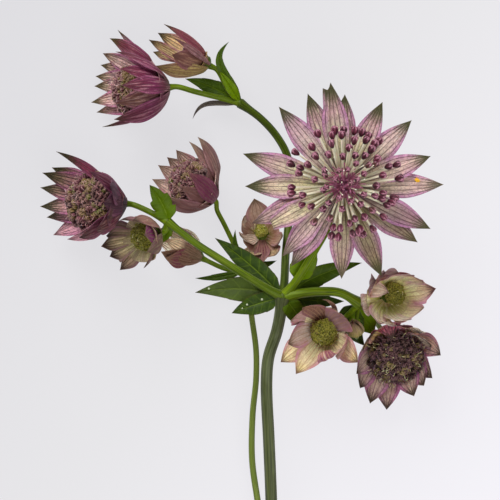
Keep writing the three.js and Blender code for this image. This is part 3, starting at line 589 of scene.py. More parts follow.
def leaf_shape(leaf, number):
    """One toothed blade, from the joint that it clasps to its tip."""
    joint = JOINTS[leaf["joint"]]
    if "root" in leaf:
        root = np.array(leaf["root"], float)
    else:
        root = np.array(joint["at"]) + unit(leaf["from"]) * joint["radius"] * LEAF_ROOT_DEPTH
    bend = np.array(leaf["via"], float)
    tip = np.array(leaf["tip"], float)
    rows = leaf["teeth"] * LEAF_ROWS_PER_TOOTH + 1
    share = np.linspace(0, 1, rows)
    across = np.linspace(-1, 1, LEAF_COLUMNS)
    centre = bent(root, bend, tip, share)
    centre = centre + np.outer(np.sin(np.pi * share ** LEAF_BOW_POWER), leaf.get("bow", (0, 0, 0)))
    length = np.linalg.norm(np.diff(centre, axis=0), axis=1).sum()
    slope = unit(np.gradient(centre, axis=0))
    up = unit(np.array((0, 0, 1.0)) - slope * slope[:, 2:3])
    sideways = np.cross(up, slope)
    outline = np.sin(np.pi * (LEAF_ROOT_SHARE + share * (1 - LEAF_ROOT_SHARE)) ** LEAF_SKEW)
    outline = outline * np.interp(share, *LEAF_WAIST)
    saw = (share * leaf["teeth"]) % 1
    saw[-1] = 1
    cut = 1 - leaf["depth"] * (1 - saw) * np.interp(share, LEAF_TEETH_START, (0, 1))
    half = np.maximum(LEAF_LEAST_HALF, leaf["width"] / 2 * outline * cut)
    edge = np.abs(across)[None, :]
    forward = LEAF_TOOTH_LEAN * leaf["depth"] * length * (saw * (1 - share))[:, None] * edge ** 3
    rise = LEAF_FOLD * half[:, None] * (edge - LEAF_ROLL_OFF * edge ** 2)
    rise = rise - MIDRIB_DEPTH * np.exp(-(edge / MIDRIB_WIDTH) ** 2)
    veins = np.cos(2 * np.pi * (share[:, None] * leaf["teeth"] * 2 - edge * VEIN_LEAN))
    rise = rise + VEIN_HEIGHT * veins * edge * (1 - edge) * 2
    ripple = LEAF_RIPPLE * half[:, None] * np.sin(share[:, None] * LEAF_RIPPLES + number) * edge ** 2
    face = (
        centre[:, None] + sideways[:, None] * (half[:, None] * across)[:, :, None]
        + slope[:, None] * forward[:, :, None] + up[:, None] * (rise + ripple)[:, :, None])
    thick = LEAF_THICKNESS * (1 - LEAF_EDGE_THINNING * edge ** 2)
    thick = thick * np.interp(share, *LEAF_THICKNESS_ALONG)[:, None]
    marks = {
        "along": share[:, None],
        "across": across,
        "tone": leaf["tone"],
        "blush": leaf.get("blush", 0.0),
        "blade_mm": (half[:, None] * across, share[:, None] * length, number * PATTERN_STEP),
        "teeth": (share * leaf["teeth"] * 2)[:, None],
    }
    half_thick = up[:, None] * (thick / 2)[:, :, None]
    return slab(face + half_thick, face - half_thick, marks)


def leaf_blade():
    """Fresh leaf: a green sheet with a waxy upper face, so a soft sheen runs over the net of veins, and
    a paler, duller underside. Veins are 0.15 mm lines, drawn about as fine as the picture can show."""
    material, tree = new_material("leaf_blade")
    along, across, tone, blush, face, teeth = [
        add_node(tree, "Attribute", attribute_name=mark).outputs["Fac"]
        for mark in ("along", "across", "tone", "blush", "face", "teeth")]
    place = add_node(tree, "Attribute", attribute_name="blade_mm").outputs["Vector"]
    edge = add_node(tree, "Math", {0: across}, operation="ABSOLUTE")
    mottle = add_node(tree, "TexNoise", {"Vector": place, "Scale": 0.7, "Detail": 4.0})
    grain = add_node(tree, "TexNoise", {"Vector": place, "Scale": 3.2, "Detail": 3.0})
    base = add_node(
        tree, "ValToRGB", {0: tone},
        stops=[(0.0, "#6c8a00"), (0.25, "#486000"), (0.6, "#3e5210"), (1.0, "#2c3e12")])
    tip = add_node(
        tree, "ValToRGB", {0: tone},
        stops=[(0.0, "#587000"), (0.25, "#324604"), (0.6, "#344714"), (1.0, "#283814")])
    lengthwise = add_node(tree, "Mix", {0: along, 6: base, 7: tip}, data_type="RGBA")
    light = add_node(
        tree, "MapRange", {"Value": mottle, "From Min": 0.45, "From Max": 0.75, "To Max": 0.5})
    mottled = add_node(tree, "Mix", {0: light, 6: lengthwise, 7: linear("#4e640e")}, data_type="RGBA")
    side = add_node(tree, "Math", {0: edge, 1: -VEIN_LEAN, 2: teeth}, operation="MULTIPLY_ADD")
    side_line = add_node(tree, "Math", {0: side, 1: 0.5}, operation="PINGPONG")
    side_vein = add_node(
        tree, "MapRange",
        {"Value": side_line, "From Min": 0.0, "From Max": 0.09, "To Min": 0.22, "To Max": 0.0},
        interpolation_type="SMOOTHSTEP")
    middle = add_node(
        tree, "MapRange",
        {"Value": edge, "From Min": 0.02, "From Max": 0.09, "To Min": 0.5, "To Max": 0.0},
        interpolation_type="SMOOTHSTEP")
    ribs = add_node(tree, "Math", {0: side_vein, 1: middle}, operation="MAXIMUM")
    veined = add_node(tree, "Mix", {0: ribs, 6: mottled, 7: linear("#6c8224")}, data_type="RGBA")
    underside = add_node(tree, "Mix", {0: face, 6: linear("#6f8250"), 7: veined}, data_type="RGBA")
    rim = add_node(
        tree, "MapRange", {"Value": edge, "From Min": 0.9, "From Max": 1.0, "To Max": 0.75},
        interpolation_type="SMOOTHSTEP")
    point = add_node(
        tree, "MapRange", {"Value": along, "From Min": 0.93, "From Max": 1.0, "To Max": 0.7})
    rimmed = add_node(tree, "Math", {0: rim, 1: point}, operation="MAXIMUM")
    colour = add_node(tree, "Mix", {0: rimmed, 6: underside, 7: linear("#43341c")}, data_type="RGBA")
    flushed = add_node(tree, "Mix", {0: blush, 6: colour, 7: linear("#6a5460")}, data_type="RGBA")
    height = add_node(tree, "Math", {0: ribs, 1: -1.2, 2: grain}, operation="MULTIPLY_ADD")
    bump = add_node(tree, "Bump", {"Height": height, "Strength": 0.6, "Distance": 0.1 * MM})
    surface = add_node(
        tree, "BsdfPrincipled",
        {"Base Color": flushed, "Roughness": 0.4, "IOR": 1.42, "Normal": bump,
         "Specular IOR Level": 0.12})
    add_node(tree, "OutputMaterial", {0: surface})
    return material


# Small drops on the lower leaves, each standing half out of its leaf, whose pale colour paints a glint:
# the leaf, where on it and how big (mm).
GLINT_DROPS = [
    ("leaf_far_left", (-7.3, 34.2), 0.24), ("leaf_lower_left", (3.4, 32.2), 0.26),
    ("leaf_lower_left", (0.3, 31), 0.22), ("leaf_lower_left", (-0.6, 30.3), 0.16),
]
GLINT_DROP_RAISED = 0.5
BEAD_RINGS = 7
BEAD_SIDES = 8


def painted_glint_drop():
    """Clear and smooth, with water's refraction, and a pale whitish colour that paints each drop as one
    small bright glint.
    """
    material, tree = new_material("painted_glint_drop")
    surface = add_node(
        tree, "BsdfPrincipled",
        {"Base Color": linear("#dfe8c4"), "Roughness": 0.05, "IOR": 1.33, "Transmission Weight": 0.35})
    add_node(tree, "OutputMaterial", {0: surface})
    return material


def bead(middle, radius):
    """A small ball."""
    height = np.linspace(-1, 1, BEAD_RINGS)
    path = middle + np.outer(height * radius, (0.0, 0.0, 1.0))
    return tube(path, np.sqrt(np.maximum(0.03, 1 - height ** 2)) * radius, BEAD_SIDES, tone=0.0)


leaf_green = leaf_blade()
drops = []
for number, (name, leaf) in enumerate(LEAVES.items()):
    blades = [leaf_shape(leaf, number)]
    upper = blades[0]["points"][:len(blades[0]["points"]) // 2]
    for leaf_name, place, radius in GLINT_DROPS:
        if leaf_name == name:
            nearest = np.linalg.norm(upper[:, :2] - place, axis=1).argmin()
            drops.append(bead(upper[nearest] + (0, 0, radius * GLINT_DROP_RAISED), radius))
    if "second" in leaf:
        blades.append(leaf_shape({**leaf, **leaf["second"]}, number + 0.5))
    make_piece(name + "_blade", blades, leaf_green, "leaf", name)
make_piece("leaf_glint_drops", drops, painted_glint_drop(), "leaf", "leaf_far_left", "leaf_lower_left")


# The ruffs. Each flower head stands in a ring of thin papery bracts, pink and green, veined, with
# dark points. They grow in two layers from the rim of a small green receptacle.

# Each ruff (mm): the receptacle's rim as `ring`, a bract's `width`, how far out and up its foot bows as
# `bowl` (shares of its length), its length as `reach` or how steeply it rises as `rise`, how far up the
# feet overlap into one `wall` and how far that is moved in as `inset`, the bearings of the bracts that
# lie in `front`, and the `tips` as bearing, distance and side, which is 1 for up and -1 for down. In the
# open flower the side is times the usual rise.
RUFFS = {
    "star": {
        "ring": 1.6, "width": 4.9, "bowl": (0.45, 0.03), "rise": 0.12,
        "front": (97, 180, 208, 229, 334, 19, 65, 129, 293),
        "tips": [
            (1, 19.4, 1), (19, 17.9, 1), (44, 18.4, 1), (65, 18, 1), (89, 17.8, 1), (97, 20.2, 1),
            (111, 19.2, 1), (129, 19.8, 1), (162, 20.4, 1), (180, 19, 1), (202, 19.1, 1),
            (208, 17.4, 2.6), (229, 17.9, 1), (237, 18.5, 1), (269, 17.9, 1), (293, 18.9, 1),
            (323, 18, 1), (334, 18.8, 1)],
    },
    "left_cup": {
        "ring": 1.5, "width": 5.2, "bowl": (0.31, 0.17), "reach": 17.6, "wall": 0.42,
        "tips": [
            (141, 15.9, 1), (153, 16.3, -1), (159, 17.3, -1), (169, 17, -1), (182, 16.8, -1),
            (190, 15.9, -1), (204, 15.7, -1), (217, 12.2, 1), (224, 10.2, 1), (235, 6.8, 1),
            (111, 3.1, 1), (189, 2.4, 1), (243, 3.7, 1), (133, 7.9, 1)],
    },
    "small_cup": {
        "ring": 1.2, "width": 5.8, "bowl": (0.34, 0.2), "reach": 11.4, "wall": 0.66,
        "inset": 0.8,
        "tips": [
            (193, 11.2, -1), (206, 10.4, -1), (225, 10.3, -1), (255, 7, 1), (169, 8.7, -1),
            (157, 6.9, 1), (190, 1.6, 1), (148, 4.7, 1), (253, 3.8, 1), (182, 10.1, -1)],
    },
    "upper_cup": {
        "ring": 1.5, "width": 5, "bowl": (0.36, 0.2), "reach": 16, "wall": 0.36,
        "tips": [
            (129, 15.6, -1), (139, 14.2, 1), (150, 15, -1), (169, 14.8, -1), (177, 14.8, -1),
            (190, 15.5, -1), (198, 15, -1), (214, 14.8, 1), (216, 12, 1), (203, 10, 1),
            (184, 8.1, 1), (162, 8.9, 1), (146, 11.2, 1), (159, 14.5, -1)],
    },
    "upper_bell": {
        "ring": 1.3, "width": 4.8, "bowl": (0.3, 0.22), "reach": 12.6, "wall": 0.22,
        "tips": [
            (138, 11.2, 1), (146, 12, -1), (157, 12.6, -1), (165, 11.4, -1), (186, 9.9, 1),
            (172, 6.6, 1), (145, 7.5, 1), (154, 10.7, -1)],
    },
    "back_cup": {
        "ring": 1.3, "width": 5.2, "bowl": (0.38, 0.17), "reach": 13.3, "wall": 0.44,
        "tips": [
            (102, 12.5, 1), (126, 12.4, -1), (137, 12.5, -1), (148, 12.9, -1), (162, 12.8, -1),
            (179, 9.2, 1), (160, 6.1, 1), (132, 6.6, 1), (111, 12, 1), (172, 12.2, -1)],
    },
    "back_bud": {
        "ring": 1, "width": 4.6, "bowl": (0.36, 0.22), "reach": 9.6, "wall": 0.36,
        "tips": [
            (144, 9.9, -1), (158, 9.4, -1), (172, 7.6, 1), (128, 8.6, 1), (182, 6.5, 1), (152, 7.8, 1)],
    },
    "back_star": {
        "ring": 1.2, "width": 4.2, "bowl": (0.42, 0.1), "reach": 8.6, "wall": 0.5,
        "tips": [
            (102, 7.7, 1), (131, 5.3, 1), (175, 4.5, 1), (232, 4.7, 1), (270, 5.7, 1),
            (306, 4.8, 1), (0, 4.2, 1), (64, 6, 1)],
    },
    "right_cup": {
        "ring": 1.2, "width": 5, "bowl": (0.42, 0.1), "reach": 12, "wall": 0.42, "inset": 0.5,
        "tips": [
            (11, 9.7, 1), (345, 7.2, 1), (318, 6.1, 1), (286, 5.5, 1), (250, 5.4, 1), (200, 5.5, 1),
            (147, 5, 1), (126, 4.3, 1), (98, 5, 1), (68, 5.3, 1), (40, 6.7, 1), (25, 7.6, 1)],
    },
    "low_cup": {
        "ring": 1.2, "width": 5.4, "bowl": (0.42, 0.1), "reach": 12.4, "wall": 0.42,
        "tips": [
            (214, 11.5, 1), (233, 10.9, 1), (249, 6.3, 1), (282, 5, 1), (312, 8.4, 1),
            (198, 8.6, 1), (166, 7.8, 1), (140, 7, 1), (103, 6.3, 1), (42, 4, 1)],
    },
    "dark_head": {
        "ring": 1.4, "width": 5.8, "bowl": (0.42, 0.1), "reach": 13.2, "wall": 0.4,
        "tips": [
            (352, 9, 1), (321, 9.3, 1), (307, 9.2, 1), (291, 10.2, 1), (263, 12.7, 1),
            (246, 12.3, 1), (228, 10.7, 1), (212, 9.4, 1), (181, 6.7, 1), (148, 5.8, 1),
            (110, 5, 1), (76, 5, 1), (35, 5.5, 1), (7, 7, 1)],
    },
}
# The colours of each ruff: the inner and the outer face from root to tip, how streaky they are, the
# stripes between the veins, the rim, the veins, and the dark point with the share where it starts.
RUFF_COLOURS = {
    "star": {
        # The open flower's inner face is darkest at its root: painted shade that falls under its florets
        # and between their stalks.
        "inner": [(0.0, "#4c4434"), (0.14, "#665e48"), (0.28, "#a89e7c"), (0.4, "#d4caa4"),
                  (0.55, "#d6c2b0"), (0.7, "#c6a2a2"), (0.84, "#9c8276"), (0.95, "#646244")],
        "outer": [(0.0, "#8a9060"), (0.5, "#c0a0a8"), (0.85, "#8a7868")],
        "streaky": 0.35, "stripe": "#dcd2b0", "rim": "#bc84ac", "vein": "#54363a",
        "point": "#45452b", "point_from": 0.88,
    },
    "left_cup": {
        "inner": [(0.0, "#7a6a40"), (0.5, "#a47468"), (0.7, "#b4808a"), (0.82, "#9c7c68"),
                  (0.95, "#6c6440")],
        "outer": [(0.0, "#463038"), (0.3, "#44263c"), (0.6, "#80304e"), (0.85, "#6e3a3c")],
        "streaky": 0.5, "stripe": "#c09a88", "rim": "#b0688e", "vein": "#3c2230",
        "point": "#33301c", "point_from": 0.9,
    },
    "small_cup": {
        "inner": [(0.0, "#84863a"), (0.4, "#c0b880"), (0.7, "#c0aa84"), (0.9, "#8a7460")],
        "outer": [(0.0, "#6a5c38"), (0.3, "#8a5650"), (0.8, "#804e66")],
        "streaky": 0.4, "stripe": "#d8d0a4", "rim": "#84586a", "vein": "#7c7050",
        "point": "#42302c", "point_from": 0.93,
    },
    "upper_cup": {
        "inner": [(0.0, "#a08468"), (0.5, "#f0c4c0"), (0.76, "#f4d0c4"), (0.92, "#d6c09a")],
        "outer": [(0.0, "#74704c"), (0.15, "#7c4c50"), (0.5, "#8a3660"), (0.8, "#7a3a48")],
        "streaky": 0.6, "stripe": "#bc8c94", "rim": "#b0648e", "vein": "#4c2634",
        "point": "#454022", "point_from": 0.97,
    },
    "upper_bell": {
        "inner": [(0.0, "#b4a45c"), (0.5, "#ecd29c"), (0.9, "#c4ac74")],
        "outer": [(0.0, "#6c7a30"), (0.2, "#8c6c4c"), (0.6, "#905850"), (0.9, "#764a3a")],
        "streaky": 0.6, "stripe": "#d0a880", "rim": "#a86c7c", "vein": "#6c4440",
        "point": "#3a3420", "point_from": 0.95,
    },
    "back_cup": {
        "inner": [(0.0, "#7a6650"), (0.5, "#ecc4b8"), (0.85, "#e4c4b4")],
        "outer": [(0.0, "#74643c"), (0.3, "#744c46"), (0.7, "#a47a72"), (0.9, "#8a6a5c")],
        "streaky": 0.5, "stripe": "#cab09c", "rim": "#b47c8a", "vein": "#6e4c48",
        "point": "#86705e", "point_from": 0.97,
    },
    "back_bud": {
        "inner": [(0.0, "#b89e74"), (0.6, "#e4cca0"), (0.95, "#c0a87c")],
        "outer": [(0.0, "#645a38"), (0.3, "#64503c"), (0.7, "#66503e"), (0.95, "#7a5c50")],
        "streaky": 0.2, "stripe": "#907458", "rim": "#9a6068", "vein": "#846452",
        "point": "#7a5c48", "point_from": 0.95,
    },
    "back_star": {
        "inner": [(0.0, "#7e7a2c"), (0.35, "#8c6050"), (0.6, "#a88a74"), (0.85, "#bca08c")],
        "outer": [(0.0, "#8a8a4c"), (0.5, "#a07868"), (0.9, "#a07c6c")],
        "streaky": 0.4, "stripe": "#ceb0a0", "rim": "#a07078", "vein": "#8c6c5c",
        "point": "#6a5640", "point_from": 0.93,
    },
    "right_cup": {
        "inner": [(0.0, "#70780e"), (0.18, "#a8ae3c"), (0.36, "#e0de94"), (0.55, "#f4f0c4"),
                  (0.75, "#f0dcbc"), (0.92, "#d4a890")],
        "outer": [(0.0, "#9a9a60"), (0.4, "#b08490"), (0.85, "#a8707e")],
        "streaky": 0.35, "stripe": "#f6ebc8", "rim": "#cc84ae", "vein": "#c0a084",
        "point": "#603c44", "point_from": 0.97,
    },
    "low_cup": {
        "inner": [(0.0, "#a0a43c"), (0.3, "#e4dca8"), (0.7, "#ecd8b4"), (0.9, "#d8c070")],
        "outer": [(0.0, "#9a9a60"), (0.4, "#a4647c"), (0.85, "#8c4860")],
        "streaky": 0.4, "stripe": "#f6ecc8", "rim": "#bc7c96", "vein": "#b48e70",
        "point": "#60483c", "point_from": 0.97,
    },
    "dark_head": {
        "inner": [(0.0, "#5a5034"), (0.4, "#beae8a"), (0.7, "#d0b0a2"), (0.92, "#ac9084")],
        "outer": [(0.0, "#6a5044"), (0.4, "#b06478"), (0.85, "#b46c7c")],
        "streaky": 0.5, "stripe": "#d0c4a0", "rim": "#b86a9e", "vein": "#7a5460",
        "point": "#3f3428", "point_from": 0.92,
    },
}
# Bracts that differ from the rest of their ruff, by the bearing of their tip. `width` and `spread` are
# times the usual width and the usual room between neighbours, `faces` is how squarely the inner face
# looks up (below 0 the outer face does), `tint` is a colour with its strength and `tint_from` is where
# along the bract it starts, `point` is how dark the point is, `teeth` are the side, the share of the
# length, how far out and how far up of teeth beside the point, `rolled` is where the end turns under
# (or over, where the radius is negative) and its radius, and `bow` bends the whole bract aside (mm).
BRACT_FORMS = {
    "star": {
        97: {"width": 1.06, "teeth": [(1, 0.897, 0.75, 0.055)]},
        208: {"rolled": (0.8, 0.7), "tint": ("#e0d8a4", 0.4), "point": 0.1},
        # Painted light, partly: 1, 19 and 44 are tinted paler to offset the shade that the florets cast
        # on them.
        1: {"tint": ("#e8ccc0", 0.5), "point": 0.8},
        19: {"tint": ("#dcbcb4", 0.4)},
        44: {"tint": ("#e4ccc4", 0.45)},
        269: {"tint": ("#c8b890", 0.35), "point": 0.6},
        293: {"tint": ("#8f8450", 0.6), "width": 1.08},
        323: {"tint": ("#988a64", 0.55), "point": 0.8},
        334: {"tint": ("#8c6478", 0.5)},
        180: {"tint": ("#c8c092", 0.4)},
        129: {"tint": ("#dcbcc8", 0.4)},
        202: {"tint": ("#e6bec0", 0.5), "point": 0.45},
        229: {"tint": ("#dab6bc", 0.4), "point": 0.55},
        237: {"tint": ("#c8a0b0", 0.45), "point": 0.8},
    },
    "left_cup": {
        141: {"faces": -0.4, "tint": ("#7c2c46", 0.6), "width": 0.8, "bow": (0.2, -1.6, 0)},
        133: {"tint": ("#6c2c48", 0.7), "point": 0.1, "width": 0.9, "bow": (0, -0.6, 0)},
        153: {"tint": ("#7a6440", 0.45)},
        159: {"tint": ("#7a6440", 0.35)},
        111: {"tint": ("#3c2840", 0.75), "point": 0.0, "width": 1.3},
        189: {"tint": ("#3c2838", 0.75), "point": 0.0, "width": 1.3},
        243: {"tint": ("#553c34", 0.7), "point": 0.0, "width": 1.3},
        182: {"tint": ("#c89aa0", 0.3)},
        190: {"tint": ("#d09ca8", 0.6)},
        204: {"tint": ("#e8acba", 0.8), "point": 0.4, "width": 1.2, "spread": 1.4},
        217: {"tint": ("#eaacba", 0.9), "width": 1.3, "spread": 1.8, "point": 0.2, "bow": (0, 0.5, 0)},
        224: {"tint": ("#6c3c4c", 0.6), "point": 0.5, "width": 1.15},
        235: {"tint": ("#5c3440", 0.5), "point": 0.3, "width": 1.3},
    },
    "small_cup": {
        206: {"teeth": [(1, 0.78, 0.4, 0.04)]},
        225: {"tint": ("#b88e84", 0.45), "teeth": [(-1, 0.84, 0.3, 0.03)], "width": 0.8},
        255: {"tint": ("#7c5a58", 0.6), "width": 0.55},
        253: {"tint": ("#6a4a44", 0.5), "width": 0.6, "point": 0.2},
        190: {"tint": ("#7c1c64", 1.0), "point": 0.1, "width": 0.9},
        148: {"tint": ("#a4706a", 0.8), "width": 0.7},
        157: {"tint": ("#9c6474", 0.8), "width": 0.8},
        169: {"tint": ("#a06c72", 0.7)},
        182: {"tint": ("#94686a", 0.5)},
    },
    "upper_cup": {
        129: {"width": 0.5, "tint": ("#b88aa0", 0.6)},
        139: {"faces": -0.6, "tint": ("#74303c", 0.5), "width": 1.0},
        146: {"point": 0.2, "width": 0.85},
        162: {"point": 0.1, "width": 0.8, "tint": ("#7c2048", 0.3)},
        184: {"point": 0.1, "width": 0.8},
        203: {"point": 0.1, "tint": ("#646038", 0.5)},
        216: {"point": 0.5, "tint": ("#5c2c3c", 0.5)},
        214: {"tint": ("#4c2c34", 0.6)},
        150: {"point": 0.7},
        190: {"tint": ("#d8a8a8", 0.4)},
        198: {"tint": ("#dca8ac", 0.5)},
    },
    "upper_bell": {
        138: {"tint": ("#80304c", 0.8), "width": 0.6},
        145: {"tint": ("#b08894", 0.7), "width": 0.3, "point": 0.2},
        172: {"tint": ("#7a544a", 0.6), "point": 0.3, "width": 0.9},
        186: {"tint": ("#9c8c50", 0.75), "point": 0.5},
    },
    "back_cup": {
        102: {"faces": -0.45, "tint": ("#6a484a", 0.45)},
        111: {"faces": -0.4, "tint": ("#7a5854", 0.3)},
        179: {"tint": ("#562c32", 0.75)},
        132: {"tint": ("#6a1c48", 0.9), "width": 0.8, "point": 0.1},
        160: {"tint": ("#5a3034", 0.7), "width": 0.7, "point": 0.2},
    },
    "back_bud": {
        # Painted light, partly: 144 and 158 are tinted near white to light faces that lie in shade.
        144: {"tint": ("#fff6dc", 1.0)},
        158: {"tint": ("#fff6dc", 1.0)},
        172: {"tint": ("#5a3c2e", 0.85)},
        182: {"tint": ("#602438", 0.9)},
        128: {"tint": ("#94707a", 0.6), "width": 0.6},
        152: {"tint": ("#f6dcb4", 0.95), "tint_from": 0.6, "width": 0.9, "point": 0.2},
    },
    "back_star": {
        102: {"tint": ("#c4a694", 0.6), "width": 1.2},
        270: {"tint": ("#60283c", 0.85), "width": 0.8, "point": 0.1},
        232: {"tint": ("#cfc48c", 0.8)},
        131: {"width": 0.8, "tint": ("#d0bca8", 0.7)},
        64: {"width": 0.7},
        0: {"width": 0.8},
        175: {"width": 0.9, "tint": ("#e4d0bc", 0.85)},
        306: {"tint": ("#b8a070", 0.6)},
    },
    "right_cup": {
        11: {"width": 1.1, "teeth": [(1, 0.8, 0.35, 0.03), (-1, 0.7, 0.3, 0.03)]},
        25: {"width": 1.1, "teeth": [(-1, 0.85, 0.3, 0.03), (1, 0.8, 0.35, 0.04)]},
        40: {"width": 1.1, "teeth": [(1, 0.84, 0.4, 0.04)]},
        68: {"teeth": [(1, 0.86, 0.35, 0.04)]},
        98: {"teeth": [(1, 0.85, 0.3, 0.03)], "tint": ("#c89aa0", 0.3)},
        147: {"tint": ("#fae8c8", 0.74), "rolled": (0.5, -2.0), "width": 0.9},
        345: {"width": 1.25, "tint": ("#fff0cc", 0.4), "tint_from": 0.3},
        # Painted light, partly: 318 and 286 are tinted near white to light faces that the lamps leave in
        # shade.
        318: {"width": 1.2, "tint": ("#fff8e0", 0.9), "tint_from": 0.36},
        286: {"tint": ("#fff8e0", 0.95), "tint_from": 0.4},
        250: {"tint": ("#fce8d4", 0.8), "tint_from": 0.46},
        200: {"tint": ("#fce8dc", 0.9), "tint_from": 0.4},
    },
    "low_cup": {
        166: {"tint": ("#bc88a0", 0.7), "teeth": [(-1, 0.85, 0.4, 0.03), (1, 0.7, 0.3, 0.03)]},
        140: {"tint": ("#642430", 0.88), "width": 0.9},
        103: {"tint": ("#583048", 0.95), "width": 0.2, "bow": (1.2, -0.4, 0)},
        312: {"bow": (-1.1, 0, 0)},
        198: {"tint": ("#c0a4b0", 0.6)},
        249: {"rolled": (0.68, -0.9), "point": 0.2, "width": 1.1},
        214: {"tint": ("#ece2a8", 0.5)},
        233: {"tint": ("#ece2a8", 0.35)},
        282: {"tint": ("#c89c98", 0.4)},
        42: {"tint": ("#9a5c84", 0.75), "width": 1.3, "spread": 1.7, "bow": (-0.8, 0, 0)},
    },
    "dark_head": {
        228: {"teeth": [(1, 0.82, 0.35, 0.03)]},
        307: {"teeth": [(1, 0.84, 0.3, 0.03)]},
        212: {"teeth": [(-1, 0.8, 0.3, 0.03)]},
        110: {"tint": ("#f088a4", 0.8), "rolled": (0.62, -2.4), "width": 1.1},
        76: {"tint": ("#e07898", 0.75), "width": 1.1},
        148: {"tint": ("#c8a458", 0.85)},
        181: {"tint": ("#c4a05c", 0.8)},
        # Painted light, partly: 35, 7 and 352 are tinted near white, beyond their pale colour, to light
        # inner faces that the lamps leave in shade.
        35: {"tint": ("#fff0c8", 0.95), "width": 1.1},
        7: {"width": 1.1, "tint": ("#f8e4c4", 0.8)},
        352: {"width": 0.85, "tint": ("#f4d4c0", 0.8), "faces": 0.75},
    },
}

BRACT_THICKNESS = 0.2
BRACT_THICKNESS_ALONG = ((0, 0.15, 0.9, 1), (1.6, 1, 0.8, 0.3))
BRACT_EDGE_THINNING = 0.5
BRACT_LAYER_STEP = 0.43
# A bract may fill this much of the room to its neighbours. The lower the power, the rounder the
# crossover from its own width to that room.
BRACT_FREE_SHARE = 1.35
BRACT_LEAST_WIDTH = 0.012
BRACT_LEAST_ROOM = 0.2
BRACT_CROSSOVER_POWER = 6
BRACT_WAIST = 0.5
BRACT_WIDEST = 0.58
BRACT_POINT_POWERS = (1.7, 1.1)
BRACT_BOW_POWER = 0.45
# How far each bract of a cup turns about its length (degrees), and by what share of it the turn is done.
BRACT_SHINGLE = 7.0
BRACT_TURNED_BY = 0.4
# How cupped, how wavy, from where, how twisted and how folded a bract is: the least and the most. The
# open flower's back layer has a share of the cup and the twist.
BRACT_VARIES = ((0.10, 0.02, 0, -0.16, -0.05), (0.24, 0.07, 6.3, 0.16, 0.08))
BACK_LAYER_CALM = 0.3
BRACT_LIFT_ALONG = ((0, 0.25, 1), (0.3, 1, 1))
BRACT_WAVES = 9
PLEATS = 3
PLEAT_HEIGHT = 0.07
TOOTH_RISE = 0.14
TOOTH_FALL = 0.03
TINT_FADE = 0.12
BRACT_ROWS = 40
BRACT_COLUMNS = 17
WALL_ROWS = 10
WALL_COLUMNS = 97
WALL_FLATNESS = 0.75
WALL_TUCK = 0.4
WALL_TUCK_POWER = 6
# The wall's outer face looks out and down by these shares; the wall is moved and thickened that way.
WALL_OUT = 0.8
WALL_DOWN = 0.6
WALL_THICKNESS = 0.07
WALL_VEIN_WIDTH = 0.7
WALL_VALUE = 0.3
WALL_PATTERN_STEP = 5.3
BRACT_PATTERN_STEP = 17
# An axis that leaves less than this of the upward direction beside it counts as straight up.
LEAST_SIDEWAYS = 0.1
RECEPTACLE_SIDES = 24
RECEPTACLE_UP = 0.85
RECEPTACLE_DOWN = 0.9
RECEPTACLE_FOOT = 0.75
RECEPTACLE_RIM = 0.35
# One seed for all that grows unevenly, so that each run grows the same plant.
SEED = 11
chance = np.random.default_rng(SEED)


def tip_place(ruff, bearing, distance, side):
    """A bract's tip, seen from the receptacle. Its height follows from the bract's length or rise."""
    angle = math.radians(bearing)
    if "rise" in ruff:
        height = ruff["rise"] * distance * side
    else:
        height = side * math.sqrt(max(0.0, ruff["reach"] ** 2 - distance ** 2))
    return np.array([distance * math.cos(angle), distance * math.sin(angle), height])


def turn_frame(axis):
    """Two directions square to a head's axis, from which turns about it are measured."""
    zero = np.array((0, 0, 1.0)) - axis * axis[2]
    if np.linalg.norm(zero) < LEAST_SIDEWAYS:
        zero = np.array((1.0, 0, 0)) - axis * axis[0]
    zero = unit(zero)
    return zero, np.cross(axis, zero)


def ordered_bracts(name):
    """The bracts in order round the axis: bearing, tip, turn, layer, and as `free` half the angle to the
    nearest bract of the same layer."""
    ruff = RUFFS[name]
    zero, quarter = turn_frame(head_axis(name))
    bracts = []
    for bearing, distance, side in ruff["tips"]:
        tip = tip_place(ruff, bearing, distance, side)
        bracts.append({"bearing": bearing, "tip": tip, "turn": math.atan2(tip @ quarter, tip @ zero)})
    bracts.sort(key=lambda bract: bract["turn"])
    for index, bract in enumerate(bracts):
        bract["layer"] = 1 if index % 2 == 0 else -1
        if "front" in ruff:
            bract["layer"] = 1 if bract["bearing"] in ruff["front"] else -1
    for bract in bracts:
        apart = [
            abs((other["turn"] - bract["turn"] + math.pi) % (2 * math.pi) - math.pi)
            for other in bracts if other is not bract and other["layer"] == bract["layer"]]
        bract["free"] = min(apart) / 2
    return bracts


def bract_outline(share):
    """Half width along a bract, as a share of the widest: waisted root, full middle, sharp point."""
    rise = np.clip(share / BRACT_WIDEST, 0, 1)
    fall = np.clip((share - BRACT_WIDEST) / (1 - BRACT_WIDEST), 0, 1)
    first, second = BRACT_POINT_POWERS
    return (BRACT_WAIST + (1 - BRACT_WAIST) * rise ** 2 * (3 - 2 * rise)) * (1 - fall ** first) ** second


def turned_about(sideways, inward, faces, share):
    """The turn about its length that makes a bract's inner face look up as squarely as `faces` says."""
    middle = len(share) // 2
    across = -sideways[middle][2]
    along = inward[middle][2]
    reach = math.hypot(along, across)
    away = math.acos(max(-1.0, min(1.0, faces / reach)))
    lean = math.atan2(across, along)
    choices = [(lean + sign * away + math.pi) % (2 * math.pi) - math.pi for sign in (-1, 1)]
    return min(choices, key=abs) * np.clip(share / BRACT_TURNED_BY, 0, 1)


def bract_line(ruff, axis, tip):
    """A bract's root, the point that its middle is drawn towards, its way outwards and its length."""
    outward = unit(tip - axis * (tip @ axis))
    length = np.linalg.norm(tip)
    bend = outward * (ruff["ring"] + ruff["bowl"][0] * length) + axis * ruff["bowl"][1] * length
    return outward * ruff["ring"], bend, outward, length


